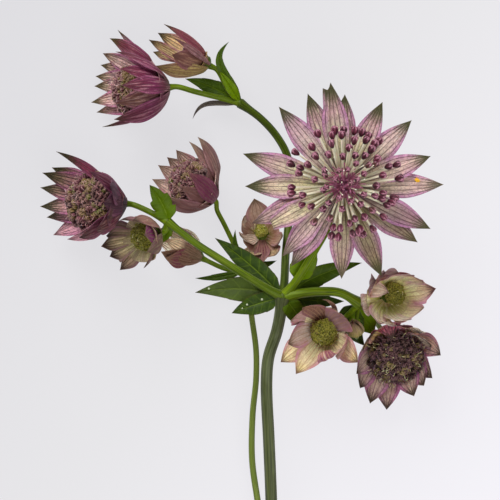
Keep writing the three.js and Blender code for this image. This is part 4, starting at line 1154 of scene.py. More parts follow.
def bract_middle(name, bearing, root, bend, tip, share):
    """Points along the middle of a bract, bowed aside where its form says so."""
    bow = BRACT_FORMS[name].get(bearing, {}).get("bow", (0, 0, 0))
    return bent(root, bend, tip, share) + np.outer(np.sin(np.pi * share ** BRACT_BOW_POWER), bow)


def ruff_wall(name, bracts, number):
    """The overlapping feet of a ruff's bracts, grown into one shallow cup that closes it below."""
    ruff = RUFFS[name]
    axis = head_axis(name)
    zero, quarter = turn_frame(axis)
    share = np.linspace(0, ruff["wall"], WALL_ROWS)
    lines = []
    for bract in bracts:
        root, bend, outward, _ = bract_line(ruff, axis, bract["tip"])
        line = bract_middle(name, bract["bearing"], root, bend, bract["tip"], share)
        lines.append(np.concatenate([line, np.stack([line @ outward, line @ axis], -1)], axis=1))
    lines = np.array(lines)
    turns = np.array([bract["turn"] for bract in bracts])
    around = np.linspace(0, 2 * np.pi, WALL_COLUMNS)
    x, y, z, out, up = [
        np.stack([
            np.interp(around, turns, lines[:, row, part], period=2 * np.pi)
            for row in range(WALL_ROWS)])
        for part in range(lines.shape[2])]
    spoke = np.outer(np.cos(around), zero) + np.outer(np.sin(around), quarter)
    round_face = out[:, :, None] * spoke[None] + up[:, :, None] * axis
    flat_face = np.stack([x, y, z], -1)
    height = share / ruff["wall"]
    inset = ruff.get("inset", 0) * np.sin(np.pi * height) - WALL_TUCK * height ** WALL_TUCK_POWER
    inset = inset[:, None, None] * (axis * WALL_DOWN - spoke * WALL_OUT)
    seat = head_seat(name)
    face = seat + flat_face * WALL_FLATNESS + round_face * (1 - WALL_FLATNESS) + inset
    wave = np.abs((around / (2 * np.pi) * len(bracts) * 2) % 2 - 1)
    marks = {
        "along": share[:, None],
        "across": wave * WALL_VEIN_WIDTH,
        "half_mm": ruff["width"] / 2,
        "piece": WALL_VALUE,
        "pointed": 0.0,
        "blade_mm": (out.mean() * around, share[:, None] * ruff["reach"], number * WALL_PATTERN_STEP),
        "tint": (0, 0, 0, 0),
    }
    thick = WALL_THICKNESS * (spoke * WALL_OUT - axis * WALL_DOWN)
    return slab(face - thick, face + thick, marks)


def bract_shape(name, axis, bract, number):
    """One bract: a thin pleated sheet, cupped across, that arches out of the receptacle's rim."""
    ruff = RUFFS[name]
    form = BRACT_FORMS[name].get(bract["bearing"], {})
    tip = bract["tip"]
    root, bend, outward, length = bract_line(ruff, axis, tip)
    sideways = np.cross(axis, outward)
    share = np.linspace(0, 1, BRACT_ROWS)
    across = np.linspace(-1, 1, BRACT_COLUMNS)
    edge = np.abs(across)[None, :]
    slope = unit((bend - root) * (1 - share[:, None]) + (tip - bend) * share[:, None])
    inward = np.cross(slope, sideways)
    centre = bract_middle(name, bract["bearing"], root, bend, tip, share)
    centre = centre + inward * (bract["layer"] * BRACT_LAYER_STEP * (1 - share ** 3))[:, None]
    off_axis = np.linalg.norm(centre - np.outer(centre @ axis, axis), axis=1)
    room = off_axis * math.sin(min(bract["free"], math.pi / 2))
    room = np.maximum(room * BRACT_FREE_SHARE * form.get("spread", 1), BRACT_LEAST_ROOM)
    wanted = ruff["width"] * form.get("width", 1) / 2 * bract_outline(share)
    wanted = np.maximum(wanted, BRACT_LEAST_WIDTH)
    power = BRACT_CROSSOVER_POWER
    half = (wanted ** -power + room ** -power) ** (-1 / power)
    if "rolled" in form:
        start, radius = form["rolled"]
        turn_back = np.clip(share - start, 0, 1) * length / abs(radius)
        first = np.searchsorted(share, start)
        rolled = abs(radius) * np.outer(np.sin(turn_back), slope[first])
        rolled = rolled - radius * np.outer(1 - np.cos(turn_back), inward[first])
        centre = np.where((share > start)[:, None], centre[first] + rolled, centre)
        slope = unit(np.gradient(centre, axis=0))
        inward = np.cross(slope, sideways)
    sideways = np.broadcast_to(sideways, slope.shape)
    shingle = 0 if "rise" in ruff else math.radians(BRACT_SHINGLE)
    angle = shingle * np.clip(share / BRACT_TURNED_BY, 0, 1)
    if "faces" in form:
        angle = turned_about(sideways, inward, form["faces"], share)
    turn = angle[:, None]
    sideways, inward = (
        np.cos(turn) * sideways + np.sin(turn) * inward,
        np.cos(turn) * inward - np.sin(turn) * sideways)
    cupped, wave, phase, twist, fold = chance.uniform(*BRACT_VARIES)
    if "rise" in ruff and bract["layer"] < 0:
        cupped, twist = cupped * BACK_LAYER_CALM, twist * BACK_LAYER_CALM
    steady = np.interp(share, *BRACT_LIFT_ALONG)
    rippled = np.sin(share[:, None] * BRACT_WAVES + phase + np.sign(across)[None, :])
    pleated = PLEAT_HEIGHT * np.cos(PLEATS * np.pi * across)[None, :]
    lift = (
        cupped * half[:, None] * edge ** 2
        + wave * half[:, None] * edge ** 2 * rippled
        + fold * half[:, None] * (1 - edge)
        + twist * half[:, None] * across[None, :] * share[:, None] ** 2
        + pleated * np.sqrt(half / half.max())[:, None]) * steady[:, None]
    out = half[:, None] * across[None, :]
    forward = np.zeros_like(out)
    for side, where, size, up in form.get("teeth", []):
        saw = np.interp(share, (where - TOOTH_RISE, where, where + TOOTH_FALL), (0, 1, 0))[:, None]
        reach_out = np.clip(across * side, 0, 1)[None, :]
        out = out + side * size * saw * reach_out ** 2
        forward = forward + up * length * saw * reach_out ** 3
    face = (
        centre[:, None] + sideways[:, None] * out[:, :, None]
        + slope[:, None] * forward[:, :, None] + inward[:, None] * lift[:, :, None])
    thick = BRACT_THICKNESS * (1 - BRACT_EDGE_THINNING * edge ** 2)
    thick = thick * np.interp(share, *BRACT_THICKNESS_ALONG)[:, None]
    half_thick = inward[:, None] * (thick / 2)[:, :, None]
    value = chance.random()
    tint, strength = form.get("tint", ("#808080", 0.0))
    start = form.get("tint_from", -1)
    strength = strength * np.clip((share[:, None] - start) / TINT_FADE, 0, 1)
    marks = {
        "along": share[:, None],
        "across": across,
        "half_mm": half[:, None],
        "piece": value,
        "pointed": form.get("point", 1.0),
        "blade_mm": (out, share[:, None] * length, value * BRACT_PATTERN_STEP + number),
        "tint": (*linear(tint)[:3], strength),
    }
    seat = head_seat(name)
    made = slab(face + half_thick, face - half_thick, marks)
    made["points"] = made["points"] + seat
    made["face"] = face + half_thick + seat
    return made


def turned(profile, sides, axis, at):
    """A closed form turned round a head's axis, from radius and height pairs, root first."""
    profile = np.array(profile, float)
    return tube(at + np.outer(profile[:, 1], axis), profile[:, 0], sides, tone=0.3)


def bract_paper(name, colours):
    """Bract paper: a dry, thin leaf tissue with parallel veins and a net between them. Dry skin gives a
    matt, faintly satin face. Veins are about a third of the half width apart, and the net's cells are
    0.5 x 1 mm."""
    material, tree = new_material(name)
    along, across, half_mm, piece, dark, face = [
        add_node(tree, "Attribute", attribute_name=mark).outputs["Fac"]
        for mark in ("along", "across", "half_mm", "piece", "pointed", "face")]
    place = add_node(tree, "Attribute", attribute_name="blade_mm").outputs["Vector"]
    tint = add_node(tree, "Attribute", attribute_name="tint").outputs
    edge = add_node(tree, "Math", {0: across}, operation="ABSOLUTE")
    wobble = add_node(tree, "TexNoise", {"Vector": place, "Scale": 0.9, "Detail": 2.0})
    inner = add_node(tree, "ValToRGB", {0: along}, stops=colours["inner"])
    outer = add_node(tree, "ValToRGB", {0: along}, stops=colours["outer"])
    faces = add_node(tree, "Mix", {0: face, 6: outer, 7: inner}, data_type="RGBA")
    streak_place = add_node(tree, "VectorMath", {0: place, 1: (2.4, 0.22, 1.0)}, operation="MULTIPLY")
    streak = add_node(tree, "TexNoise", {"Vector": streak_place, "Scale": 1.0, "Detail": 3.0})
    light = add_node(
        tree, "MapRange",
        {"Value": streak, "From Min": 0.3, "From Max": 0.7, "To Min": 1 - 0.5 * colours["streaky"],
         "To Max": 1 + 0.4 * colours["streaky"]})
    striped = add_node(
        tree, "MapRange",
        {"Value": streak, "From Min": 0.48, "From Max": 0.64, "To Max": colours["streaky"]},
        interpolation_type="SMOOTHSTEP")
    striping = add_node(
        tree, "Mix", {0: striped, 6: faces, 7: linear(colours["stripe"])}, data_type="RGBA")
    tinted = add_node(
        tree, "Mix", {0: tint["Alpha"], 6: striping, 7: tint["Color"]}, data_type="RGBA")
    own = add_node(tree, "MapRange", {"Value": piece, "To Min": 0.88, "To Max": 1.08})
    brightness = add_node(tree, "Math", {0: light, 1: own}, operation="MULTIPLY")
    shaded = add_node(tree, "VectorMath", {0: tinted, "Scale": brightness}, operation="SCALE")
    wide = add_node(tree, "Math", {0: wobble, 1: 0.5, 2: edge}, operation="MULTIPLY_ADD")
    rim_side = add_node(
        tree, "MapRange", {"Value": wide, "From Min": 0.58, "From Max": 1.3, "To Max": 0.92},
        interpolation_type="SMOOTHSTEP")
    rim_start = add_node(
        tree, "MapRange", {"Value": along, "From Min": 0.28, "From Max": 0.55},
        interpolation_type="SMOOTHSTEP")
    rim_end = add_node(
        tree, "MapRange",
        {"Value": along, "From Min": 0.78, "From Max": 0.95, "To Min": 1.0, "To Max": 0.2},
        interpolation_type="SMOOTHSTEP")
    rim_along = add_node(tree, "Math", {0: rim_start, 1: rim_end}, operation="MULTIPLY")
    rim_face = add_node(tree, "MapRange", {"Value": face, "To Min": 0.35, "To Max": 1.0})
    rim_faced = add_node(tree, "Math", {0: rim_side, 1: rim_face}, operation="MULTIPLY")
    rim_own = add_node(
        tree, "MapRange",
        {"Value": tint["Alpha"], "From Min": 0.75, "From Max": 0.95, "To Min": 1.0, "To Max": 0.1})
    rim_kept = add_node(tree, "Math", {0: rim_along, 1: rim_own}, operation="MULTIPLY")
    rim_mask = add_node(tree, "Math", {0: rim_faced, 1: rim_kept}, operation="MULTIPLY")
    rimmed = add_node(tree, "Mix", {0: rim_mask, 6: shaded, 7: linear(colours["rim"])}, data_type="RGBA")
    thirds = add_node(tree, "Math", {0: edge, 1: 2.8}, operation="MULTIPLY")
    between = add_node(tree, "Math", {0: thirds, 1: 0.5}, operation="PINGPONG")
    third_mm = add_node(tree, "Math", {0: half_mm, 1: 2.8}, operation="DIVIDE")
    vein_mm = add_node(tree, "Math", {0: between, 1: third_mm}, operation="MULTIPLY")
    vein = add_node(
        tree, "MapRange",
        {"Value": vein_mm, "From Min": 0.04, "From Max": 0.15, "To Min": 0.85, "To Max": 0.0},
        interpolation_type="SMOOTHSTEP")
    patchy = add_node(
        tree, "MapRange",
        {"Value": wobble, "From Min": 0.3, "From Max": 0.6, "To Min": 0.45, "To Max": 1.0})
    vein_mask = add_node(tree, "Math", {0: vein, 1: patchy}, operation="MULTIPLY")
    net_place = add_node(tree, "VectorMath", {0: place, 1: (2.0, 1.0, 1.0)}, operation="MULTIPLY")
    bent_place = add_node(
        tree, "VectorMath", {0: wobble.outputs[1], 1: (0.9, 0.9, 0.0), 2: net_place},
        operation="MULTIPLY_ADD")
    net = add_node(tree, "TexVoronoi", {"Vector": bent_place, "Scale": 1.0}, feature="DISTANCE_TO_EDGE")
    net_line = add_node(
        tree, "MapRange",
        {"Value": net, "From Min": 0.02, "From Max": 0.12, "To Min": 0.4, "To Max": 0.0},
        interpolation_type="SMOOTHSTEP")
    lines = add_node(tree, "Math", {0: vein_mask, 1: net_line}, operation="MAXIMUM")
    veined = add_node(tree, "Mix", {0: lines, 6: rimmed, 7: linear(colours["vein"])}, data_type="RGBA")
    point_place = add_node(tree, "Math", {0: lines, 1: 0.1, 2: along}, operation="MULTIPLY_ADD")
    point_edge = add_node(tree, "Math", {0: edge, 1: 0.05, 2: point_place}, operation="MULTIPLY_ADD")
    point_own = add_node(tree, "Math", {0: piece, 1: 0.08, 2: point_edge}, operation="MULTIPLY_ADD")
    start = colours["point_from"]
    point = add_node(
        tree, "MapRange",
        {"Value": point_own, "From Min": start - 0.1, "From Max": start + 0.16, "To Max": 0.95},
        interpolation_type="SMOOTHSTEP")
    darkened = add_node(tree, "Math", {0: point, 1: dark}, operation="MULTIPLY")
    pointed = add_node(
        tree, "Mix", {0: darkened, 6: veined, 7: linear(colours["point"])}, data_type="RGBA")
    hem = add_node(
        tree, "MapRange", {"Value": edge, "From Min": 0.94, "From Max": 1.0, "To Max": 0.35},
        interpolation_type="SMOOTHSTEP")
    colour = add_node(tree, "Mix", {0: hem, 6: pointed, 7: linear(colours["vein"])}, data_type="RGBA")
    height = add_node(tree, "Math", {0: lines, 1: -1.0, 2: streak}, operation="MULTIPLY_ADD")
    bump = add_node(tree, "Bump", {"Height": height, "Strength": 0.5, "Distance": 0.09 * MM})
    surface = add_node(
        tree, "BsdfPrincipled",
        {"Base Color": colour, "Roughness": 0.58, "IOR": 1.4, "Normal": bump, "Specular IOR Level": 0.15,
         "Subsurface Weight": 0.4, "Subsurface Radius": (1.0, 0.7, 0.65), "Subsurface Scale": 0.25 * MM})
    add_node(tree, "OutputMaterial", {0: surface})
    return material


PALE_RUFFS = ("star", "right_cup", "low_cup", "back_star", "back_bud")
POLLEN_BRACT = 1
stem_green = bpy.data.materials["stem_skin"]
for name in RUFFS:
    axis = head_axis(name)
    bracts = ordered_bracts(name)
    shapes = [bract_shape(name, axis, bract, number) for number, bract in enumerate(bracts)]
    if name != "star":
        shapes.append(ruff_wall(name, bracts, len(bracts)))
    paper = bract_paper(name + "_bract_paper", RUFF_COLOURS[name])
    slot = "bract_pale" if name in PALE_RUFFS else "bract_mauve"
    make_piece(name + "_ruff", shapes, paper, slot, name + "_bracts")
    if name == "star":
        numbers = {bract["bearing"]: number for number, bract in enumerate(bracts)}
        pollen_bract = shapes[numbers[POLLEN_BRACT]]["face"]
    ring = RUFFS[name]["ring"]
    wall = [(0.02, -RECEPTACLE_DOWN - 0.3), (RECEPTACLE_FOOT * 0.9, -RECEPTACLE_DOWN), (ring, -0.5),
            (ring + RECEPTACLE_RIM, -0.1), (ring + RECEPTACLE_RIM, 0.3), (ring * 0.8, 0.8),
            (0.02, RECEPTACLE_UP)]
    seat = turned(wall, RECEPTACLE_SIDES, axis, head_seat(name))
    make_piece(name + "_receptacle", [seat], stem_green, "stem", name + "_bracts")


# The florets. Each ruff holds a cushion of tiny closed flowers: five pointed sepals on a ribbed seed
# case. In the open flower they stand on thin cream stalks, in the others they crowd together.

# Each dome of crowded florets (mm): its radius, how far up the axis its foot and its top are, how many
# florets it has and a floret's half width, how many threads rise from them, how rough the dome is, how
# many dark threads fringe it, and how far it is shifted off its seat.
DOMES = {
    "left_cup": {"radius": 6.2, "foot": 5.2, "top": 11.2, "count": 270, "size": 0.5, "threads": 90,
                 "rough": 0.2, "shift": (-0.2, -0.6, 0)},
    "upper_cup": {"radius": 5.2, "foot": 7, "top": 10.8, "count": 200, "size": 0.44, "threads": 60},
    "upper_bell": {"radius": 1.9, "foot": 3.4, "top": 5.2, "count": 40, "size": 0.4, "threads": 6},
    "back_cup": {"radius": 4.8, "foot": 6, "top": 9.6, "count": 160, "size": 0.5, "threads": 24},
    "back_bud": {"radius": 1.4, "foot": 2.6, "top": 4, "count": 26, "size": 0.38, "threads": 6},
    "dark_head": {"radius": 6, "foot": 3.9, "top": 7, "count": 270, "size": 0.46, "threads": 60,
                  "rough": 0.26, "fringe": 140, "shift": (0.15, -0.3, 0)},
    "small_cup": {"radius": 2.8, "foot": 3.2, "top": 5, "count": 110, "size": 0.34, "threads": 6},
    "right_cup": {"radius": 2.3, "foot": 2.6, "top": 4.2, "count": 100, "size": 0.3, "threads": 6,
                  "shift": (0.4, 0.4, 0)},
    "low_cup": {"radius": 2.8, "foot": 2.6, "top": 4.4, "count": 140, "size": 0.3, "threads": 4},
    "back_star": {"radius": 1.25, "foot": 2.3, "top": 3.5, "count": 40, "size": 0.32, "threads": 4},
}
GREEN_CENTRED = ("small_cup", "right_cup", "low_cup", "back_star")
# The open flower's florets: how far out from the middle (mm), and their bearings there.
STAR_BUDS = {
    11.1: (9, 23, 52, 64, 72, 77, 90, 98, 115, 144, 155),
    10.1: (55, 65, 102, 343, 348),
    9.6: (24, 91, 129, 179, 187, 259, 265, 295, 307, 324),
    9.1: (52, 77, 154, 283, 288, 339),
    8.6: (37, 103, 162, 204, 230, 292),
    7.9: (16, 35, 81, 129, 148, 192, 258, 267, 343, 350),
    7.1: (55, 214, 303, 323, 281),
    6.4: (3, 40, 68, 115, 248, 289, 343),
    5.6: (90, 166, 229),
    4.8: (31, 61, 138, 314),
    4.2: (147, 191, 230, 268, 338),
    3.1: (25, 75, 105, 185, 300),
    1.9: (20, 140, 255),
}
STAR_BUD_SHIFT = (-0.3, -0.6, 0)
STAR_BUD_ROOT = 1.3
STAR_BUD_OUT_JITTER = 0.14
STAR_BUD_TURN_JITTER = 0.02
STAR_BUD_UNEVEN = (-0.7, 0.3)
# A bud's half width and half length: in the middle, the growth for each mm outwards, and between which
# shares of that they vary.
STAR_BUD_SIZES = [(0.53, 0.012, 0.88, 1.1), (0.7, 0.022, 0.9, 1.12)]
STAR_STALK_START = 0.5
STAR_STALK_STEP = 0.7
STAR_STALK_RADII = (0.26, 0.19)
STAR_STALK_SIDES = 8
STAR_DOME_HEIGHT = 7.4
STAR_DOME_WIDTH = 14.0
# Each kind of thread: how long, how curled and how thick. The open flower's threads and stamens also
# have their number, how far they spread (degrees) and how high they start.
STAR_THREADS = {
    "count": 170, "spread": 80, "start": 4.4, "length": (2.2, 4.8), "curl": (0.2, 1.5), "radius": 0.11}
STAMENS = {
    "count": 18, "spread": 62, "start": 3.2, "length": (3, 5), "curl": (0.1, 0.6), "radius": 0.09}
DOME_THREADS = {"length": (0.8, 1.9), "curl": (0.3, 1.1), "radius": 0.075}
FRINGE_THREADS = {"length": (1.0, 2.2), "curl": (0.3, 1.2), "radius": 0.09}
STAMEN_OUT = (2.5, 5)
STAMEN_AIM_JITTER = 0.15
STAR_CUSHION = [(0.05, 1.0), (1.4, 1.15), (2.5, 2.2), (2.6, 3.4), (1.9, 4.6), (0.9, 5.2), (0.05, 5.4)]
GOLDEN_ANGLE = math.pi * (3 - math.sqrt(5))
# A dome's florets: how far they spread (degrees), how rough the dome is, how far out they stand as a
# share of its radius, how unevenly they face and how their sizes vary. Most florets of a clump share
# one colour.
DOME_SPREAD = 86
DOME_ROUGH = 0.14
DOME_INSET = 0.95
DOME_FACING_JITTER = 0.22
DOME_SIZES_VARY = (0.75, 1.3)
DOME_BUD_SLENDERNESS = 1.25
CLUMP_SHARE = 0.6
FLORETS_PER_CLUMP = 7
GREEN_THREAD_SHARE = 0.6
PINK_THREADED = ("left_cup", "upper_cup", "back_cup", "upper_bell")
# The closed core lies under the lowest florets: it is smaller than the dome by most of its roughness.
CORE_ROUGH = 0.1
CORE_INSET = 0.9
CORE_SIDES = 20
# A floret from its foot to its sepals' points: how far along and how wide, then its ribs and its crown.
BUD_ALONG = (0, 0.12, 0.4, 0.62, 0.8, 0.92, 1)
BUD_WIDE = (0.3, 0.62, 0.98, 1, 0.82, 0.5, 0.08)
SEPALS = 5
BUD_RIB = 0.13
CROWN_FROM = 0.55
CROWN_RISE = 0.3
CROWN_END = 1.05
CROWN_FALL = 0.2
CROWN_LIFT = 0.28
THREAD_RINGS = 7
THREAD_SIDES = 5


def spread_directions(count, spread, axis):
    """Directions spread evenly over a cap round the axis, as a head packs its florets."""
    up = 1 - (1 - math.cos(math.radians(spread))) * (np.arange(count) + 0.5) / count
    turn = np.arange(count) * GOLDEN_ANGLE
    side = unit(np.cross(axis, (0.0, 1.0, 0.0)))
    third = np.cross(axis, side)
    flat = np.sqrt(1 - up ** 2)
    return (
        np.outer(flat * np.cos(turn), side) + np.outer(flat * np.sin(turn), third) + np.outer(up, axis))


def bud_form(sides, rings, peaks):
    """One closed floret of half width and half length 1: a five-ribbed case under pointed sepals."""
    share = np.linspace(0, 1, rings)
    radius = np.interp(share, BUD_ALONG, BUD_WIDE)
    height = -1 + 2 * share
    turn = np.arange(sides) * 2 * np.pi / sides
    rib = np.cos(SEPALS * turn)
    swell = 1 + BUD_RIB * np.outer(np.sin(np.pi * share), rib)
    rise = np.clip((share - CROWN_FROM) / CROWN_RISE, 0, 1)
    crown = peaks * np.outer(rise * np.clip((CROWN_END - share) / CROWN_FALL, 0, 1), rib > 0)
    wide = radius[:, None] * swell * (1 + crown)
    points = np.stack([
        wide * np.cos(turn), wide * np.sin(turn), height[:, None] + CROWN_LIFT * crown], -1)
    count = sides * rings
    index = np.arange(count).reshape(rings, sides)
    after = np.roll(index, -1, axis=1)
    high = np.append(np.repeat(share, sides), (0, 1))
    return {
        "points": np.vstack([points.reshape(-1, 3), [(0, 0, -1.02), (0, 0, 1.04)]]),
        "quads": np.stack([index[:-1], after[:-1], after[1:], index[1:]], -1).reshape(-1, 4),
        "triangles": np.vstack([
            np.stack([after[0], index[0], np.full(sides, count)], -1),
            np.stack([index[-1], after[-1], np.full(sides, count + 1)], -1)]),
        "marks": {
            "along": high[:, None],
            "rib": np.append(np.tile(rib, rings), (0, 0))[:, None],
        },
    }


def scattered(form, places, directions, widths, lengths, clumps=0):
    """Copies of one small form, each on its own place, facing its own way, with a random value; most
    copies in a clump share theirs."""
    count = len(places)
    each = len(form["points"])
    leaning = np.abs(directions[:, 2:3]) < NEARLY_UPRIGHT
    hint = np.where(leaning, (0.0, 0.0, 1.0), (1.0, 0.0, 0.0))
    side = unit(np.cross(directions, hint))
    third = np.cross(directions, side)
    turn = chance.uniform(0, 2 * np.pi, count)[:, None]
    first = side * np.cos(turn) + third * np.sin(turn)
    second = np.cross(directions, first)
    x, y, z = form["points"].T
    points = (
        places[:, None]
        + first[:, None] * (x[None] * widths[:, None])[:, :, None]
        + second[:, None] * (y[None] * widths[:, None])[:, :, None]
        + directions[:, None] * (z[None] * lengths[:, None])[:, :, None])
    starts = (np.arange(count) * each)[:, None, None]
    marks = {name: np.tile(values, (count, 1)) for name, values in form["marks"].items()}
    values = chance.random(count)
    if clumps:
        leaders = chance.choice(count, clumps, replace=False)
        apart = np.linalg.norm(places[:, None] - places[leaders][None], axis=2)
        follows = chance.random(count) < CLUMP_SHARE
        values = np.where(follows, values[leaders][apart.argmin(axis=1)], values)
    marks["piece"] = np.repeat(values, each)[:, None]
    return {
        "points": points.reshape(-1, 3),
        "quads": (form["quads"][None] + starts).reshape(-1, 4),
        "triangles": (form["triangles"][None] + starts).reshape(-1, 3),
        "marks": marks,
    }


def floret_skin(name, colours):
    """Closed florets: small, dense, faintly velvety flower tissue, so they are matt with a dim sheen.
    Each floret takes its own colour from the list, with a darker foot and 0.3 mm specks; its grooves are
    darkened as painted shade, and its ridges and sepal tips are paler, partly their own colour and
    partly a painted highlight."""
    material, tree = new_material(name)
    along, piece, rib = [
        add_node(tree, "Attribute", attribute_name=mark).outputs["Fac"]
        for mark in ("along", "piece", "rib")]
    place = add_node(tree, "TexCoord").outputs["Object"]
    speck = add_node(tree, "TexNoise", {"Vector": place, "Scale": 1.0 / (0.32 * MM), "Detail": 2.0})
    own = add_node(tree, "ValToRGB", {0: piece}, stops=colours["own"])
    own.color_ramp.interpolation = "CONSTANT"
    foot = add_node(
        tree, "MapRange",
        {"Value": along, "From Min": 0.05, "From Max": 0.5, "To Min": 0.8, "To Max": 0.0})
    footed = add_node(tree, "Mix", {0: foot, 6: own, 7: linear(colours["foot"])}, data_type="RGBA")
    # Painted shade: the grooves between the ribs are darkened towards the foot colour.
    painted_groove_shade = add_node(
        tree, "MapRange",
        {"Value": rib, "From Min": -0.9, "From Max": 0.1, "To Min": 0.75, "To Max": 0.0})
    groove_shaded = add_node(tree, "Mix", {0: painted_groove_shade, 6: footed, 7: linear(colours["foot"])}, data_type="RGBA")
    # Painted highlight, partly: ridges and the crown turn towards the paler top colour, which is also
    # the sepals' own pinker tips.
    lit = add_node(tree, "Math", {0: rib, 1: 0.22, 2: along}, operation="MULTIPLY_ADD")
    specked = add_node(tree, "Math", {0: speck, 1: 0.9, 2: lit}, operation="MULTIPLY_ADD")
    top = add_node(
        tree, "MapRange",
        {"Value": specked, "From Min": 1.15, "From Max": 1.5, "To Max": colours["top_share"]},
        interpolation_type="SMOOTHSTEP")
    colour = add_node(tree, "Mix", {0: top, 6: groove_shaded, 7: linear(colours["top"])}, data_type="RGBA")
    surface = add_node(
        tree, "BsdfPrincipled",
        {"Base Color": colour, "Roughness": 0.5, "IOR": 1.4, "Specular IOR Level": 0.25,
         "Sheen Weight": 0.1, "Sheen Roughness": 0.4})
    add_node(tree, "OutputMaterial", {0: surface})
    return material


def thread_skin(name, root, tip):
    """Floret stalks, styles, stamens and pollen: fine, moist plant parts with a soft gloss."""
    material, tree = new_material(name)
    along = add_node(tree, "Attribute", attribute_name="along").outputs["Fac"]
    colour = add_node(tree, "ValToRGB", {0: along}, stops=[(0.0, root), (1.0, tip)])
    surface = add_node(
        tree, "BsdfPrincipled",
        {"Base Color": colour, "Roughness": 0.45, "IOR": 1.4, "Subsurface Weight": 0.1,
         "Subsurface Scale": 0.2 * MM})
    add_node(tree, "OutputMaterial", {0: surface})
    return material


def curled_thread(place, direction, kind, share_of_length=1):
    """A fine thread that leaves a floret and curls over to one side."""
    length = chance.uniform(*kind["length"]) * share_of_length
    curl = chance.uniform(*kind["curl"])
    aside = unit(np.cross(direction, chance.normal(size=3)))
    share = np.linspace(0, 1, THREAD_RINGS)
    path = (
        place + np.outer(share * length, direction)
        + np.outer(share ** 2 * curl, aside) - np.outer(share ** 3 * curl * 0.5, direction))
    radii = kind["radius"] * np.interp(share, (0, 0.8, 1), (1, 0.8, 1.3))
    return tube(path, radii, THREAD_SIDES, tone=0.0)


def star_florets():
    """The open flower's florets: stalked buds in an even pincushion round a tuft of maroon threads."""
    axis = head_axis("star")
    centre = head_seat("star") + axis * STAR_BUD_ROOT
    side = unit(np.cross((0.0, 1.0, 0.0), axis))
    third = np.cross(axis, side)
    bud = bud_form(sides=20, rings=11, peaks=0.3)
    stalks = []
    buds = []
    for distance, bearings in STAR_BUDS.items():
        count = len(bearings)
        out = distance + chance.normal(0, STAR_BUD_OUT_JITTER, count)
        turn = np.radians(bearings) + chance.normal(0, STAR_BUD_TURN_JITTER, count)
        height = STAR_DOME_HEIGHT * np.sqrt(1 - (out / STAR_DOME_WIDTH) ** 2)
        height = height + chance.uniform(*STAR_BUD_UNEVEN, count)
        places = (
            centre + np.outer(out * np.cos(turn), side) + np.outer(out * np.sin(turn), third)
            + np.outer(height, axis) + STAR_BUD_SHIFT)
        directions = unit(places - centre)
        widths, lengths = [
            (middle + growth * distance) * chance.uniform(least, most, count)
            for middle, growth, least, most in STAR_BUD_SIZES]
        buds.append(scattered(bud, places, directions, widths, lengths))
        for place, direction in zip(places, directions):
            root = centre + direction * STAR_STALK_START
            middle = root * 0.5 + place * 0.5 + unit(direction - axis * 0.3) * 0.25
            path, walked = grown_path([root, middle, place - direction * 0.5], STAR_STALK_STEP)
            radii = np.interp(walked, (0, walked[-1]), STAR_STALK_RADII)
            stalks.append(tube(path, radii, STAR_STALK_SIDES, tone=0.0))
    return stalks, buds


def star_threads():
    """Styles and late stamens in the open flower's heart: a starry tuft of thin maroon threads."""
    axis = head_axis("star")
    centre = head_seat("star") + axis * STAR_THREADS["start"]
    return [
        curled_thread(centre, direction, STAR_THREADS)
        for direction in spread_directions(STAR_THREADS["count"], STAR_THREADS["spread"], axis)]


def star_stamens():
    """A few long cream stamens that stick out between the open flower's florets."""
    axis = head_axis("star")
    centre = head_seat("star") + axis * STAMENS["start"]
    stamens = []
    for direction in spread_directions(STAMENS["count"], STAMENS["spread"], axis):
        start = centre + direction * chance.uniform(*STAMEN_OUT)
        aim = unit(direction + chance.normal(0, STAMEN_AIM_JITTER, 3))
        stamens.append(curled_thread(start, aim, STAMENS))
    return stamens


def cushion_core(dome, ring, axis, seat):
    """The closed middle of a dome, which carries its florets and fills the gaps between them."""
    shrunk = 1 - dome.get("rough", CORE_ROUGH) * CORE_INSET
    foot = dome["foot"]
    wide, high = dome["radius"] * shrunk, foot + (dome["top"] - foot) * shrunk
    profile = [
        (0.02, 1.0), (ring * 0.6, 1.1), (wide * 0.6, foot * 0.72), (wide, foot * 0.96),
        (wide * 0.86, (foot + high) / 2), (wide * 0.44, high - 0.25), (0.02, high - 0.2)]
    core = turned(profile, CORE_SIDES, axis, seat)
    for mark, value in (("piece", 0.5), ("rib", 0.0)):
        core["marks"][mark] = np.full_like(core["marks"]["tone"], value)
    return core


# `top` is the sepals' pinker tips and partly a painted highlight on ridges and crown; `foot` also
# darkens the grooves as painted shade.
STAR_FLORET_COLOURS = {
    "own": [(0.0, "#5a2434"), (0.3, "#682c3e"), (0.55, "#4a1d2a"), (0.8, "#703a4c"), (0.93, "#5c3a34")],
    "foot": "#280e16", "top": "#b67e90", "top_share": 0.8,
}
MAROON_FLORET_COLOURS = {
    "own": [(0.0, "#62323c"), (0.22, "#76524a"), (0.4, "#40222a"), (0.55, "#84525c"), (0.7, "#7c6838"),
            (0.9, "#6a6c2c")],
    "foot": "#2a1a16", "top": "#ac8a7e", "top_share": 0.5,
}
DARK_FLORET_COLOURS = {
    "own": [(0.0, "#3c2424"), (0.3, "#503034"), (0.5, "#2c1a1a"), (0.66, "#5a3a42"), (0.8, "#6e6034"),
            (0.93, "#90804e")],
    "foot": "#1e120e", "top": "#94746c", "top_share": 0.5,
}
GREEN_FLORET_COLOURS = {
    "own": [(0.0, "#72701e"), (0.3, "#848228"), (0.6, "#60601a"), (0.8, "#908a36"), (0.93, "#5c4a24")],
    "foot": "#3c3a10", "top": "#a8a04c", "top_share": 0.5,
}

maroon_skin = floret_skin("maroon_florets", MAROON_FLORET_COLOURS)
dark_skin = floret_skin("dark_florets", DARK_FLORET_COLOURS)
green_skin = floret_skin("green_florets", GREEN_FLORET_COLOURS)
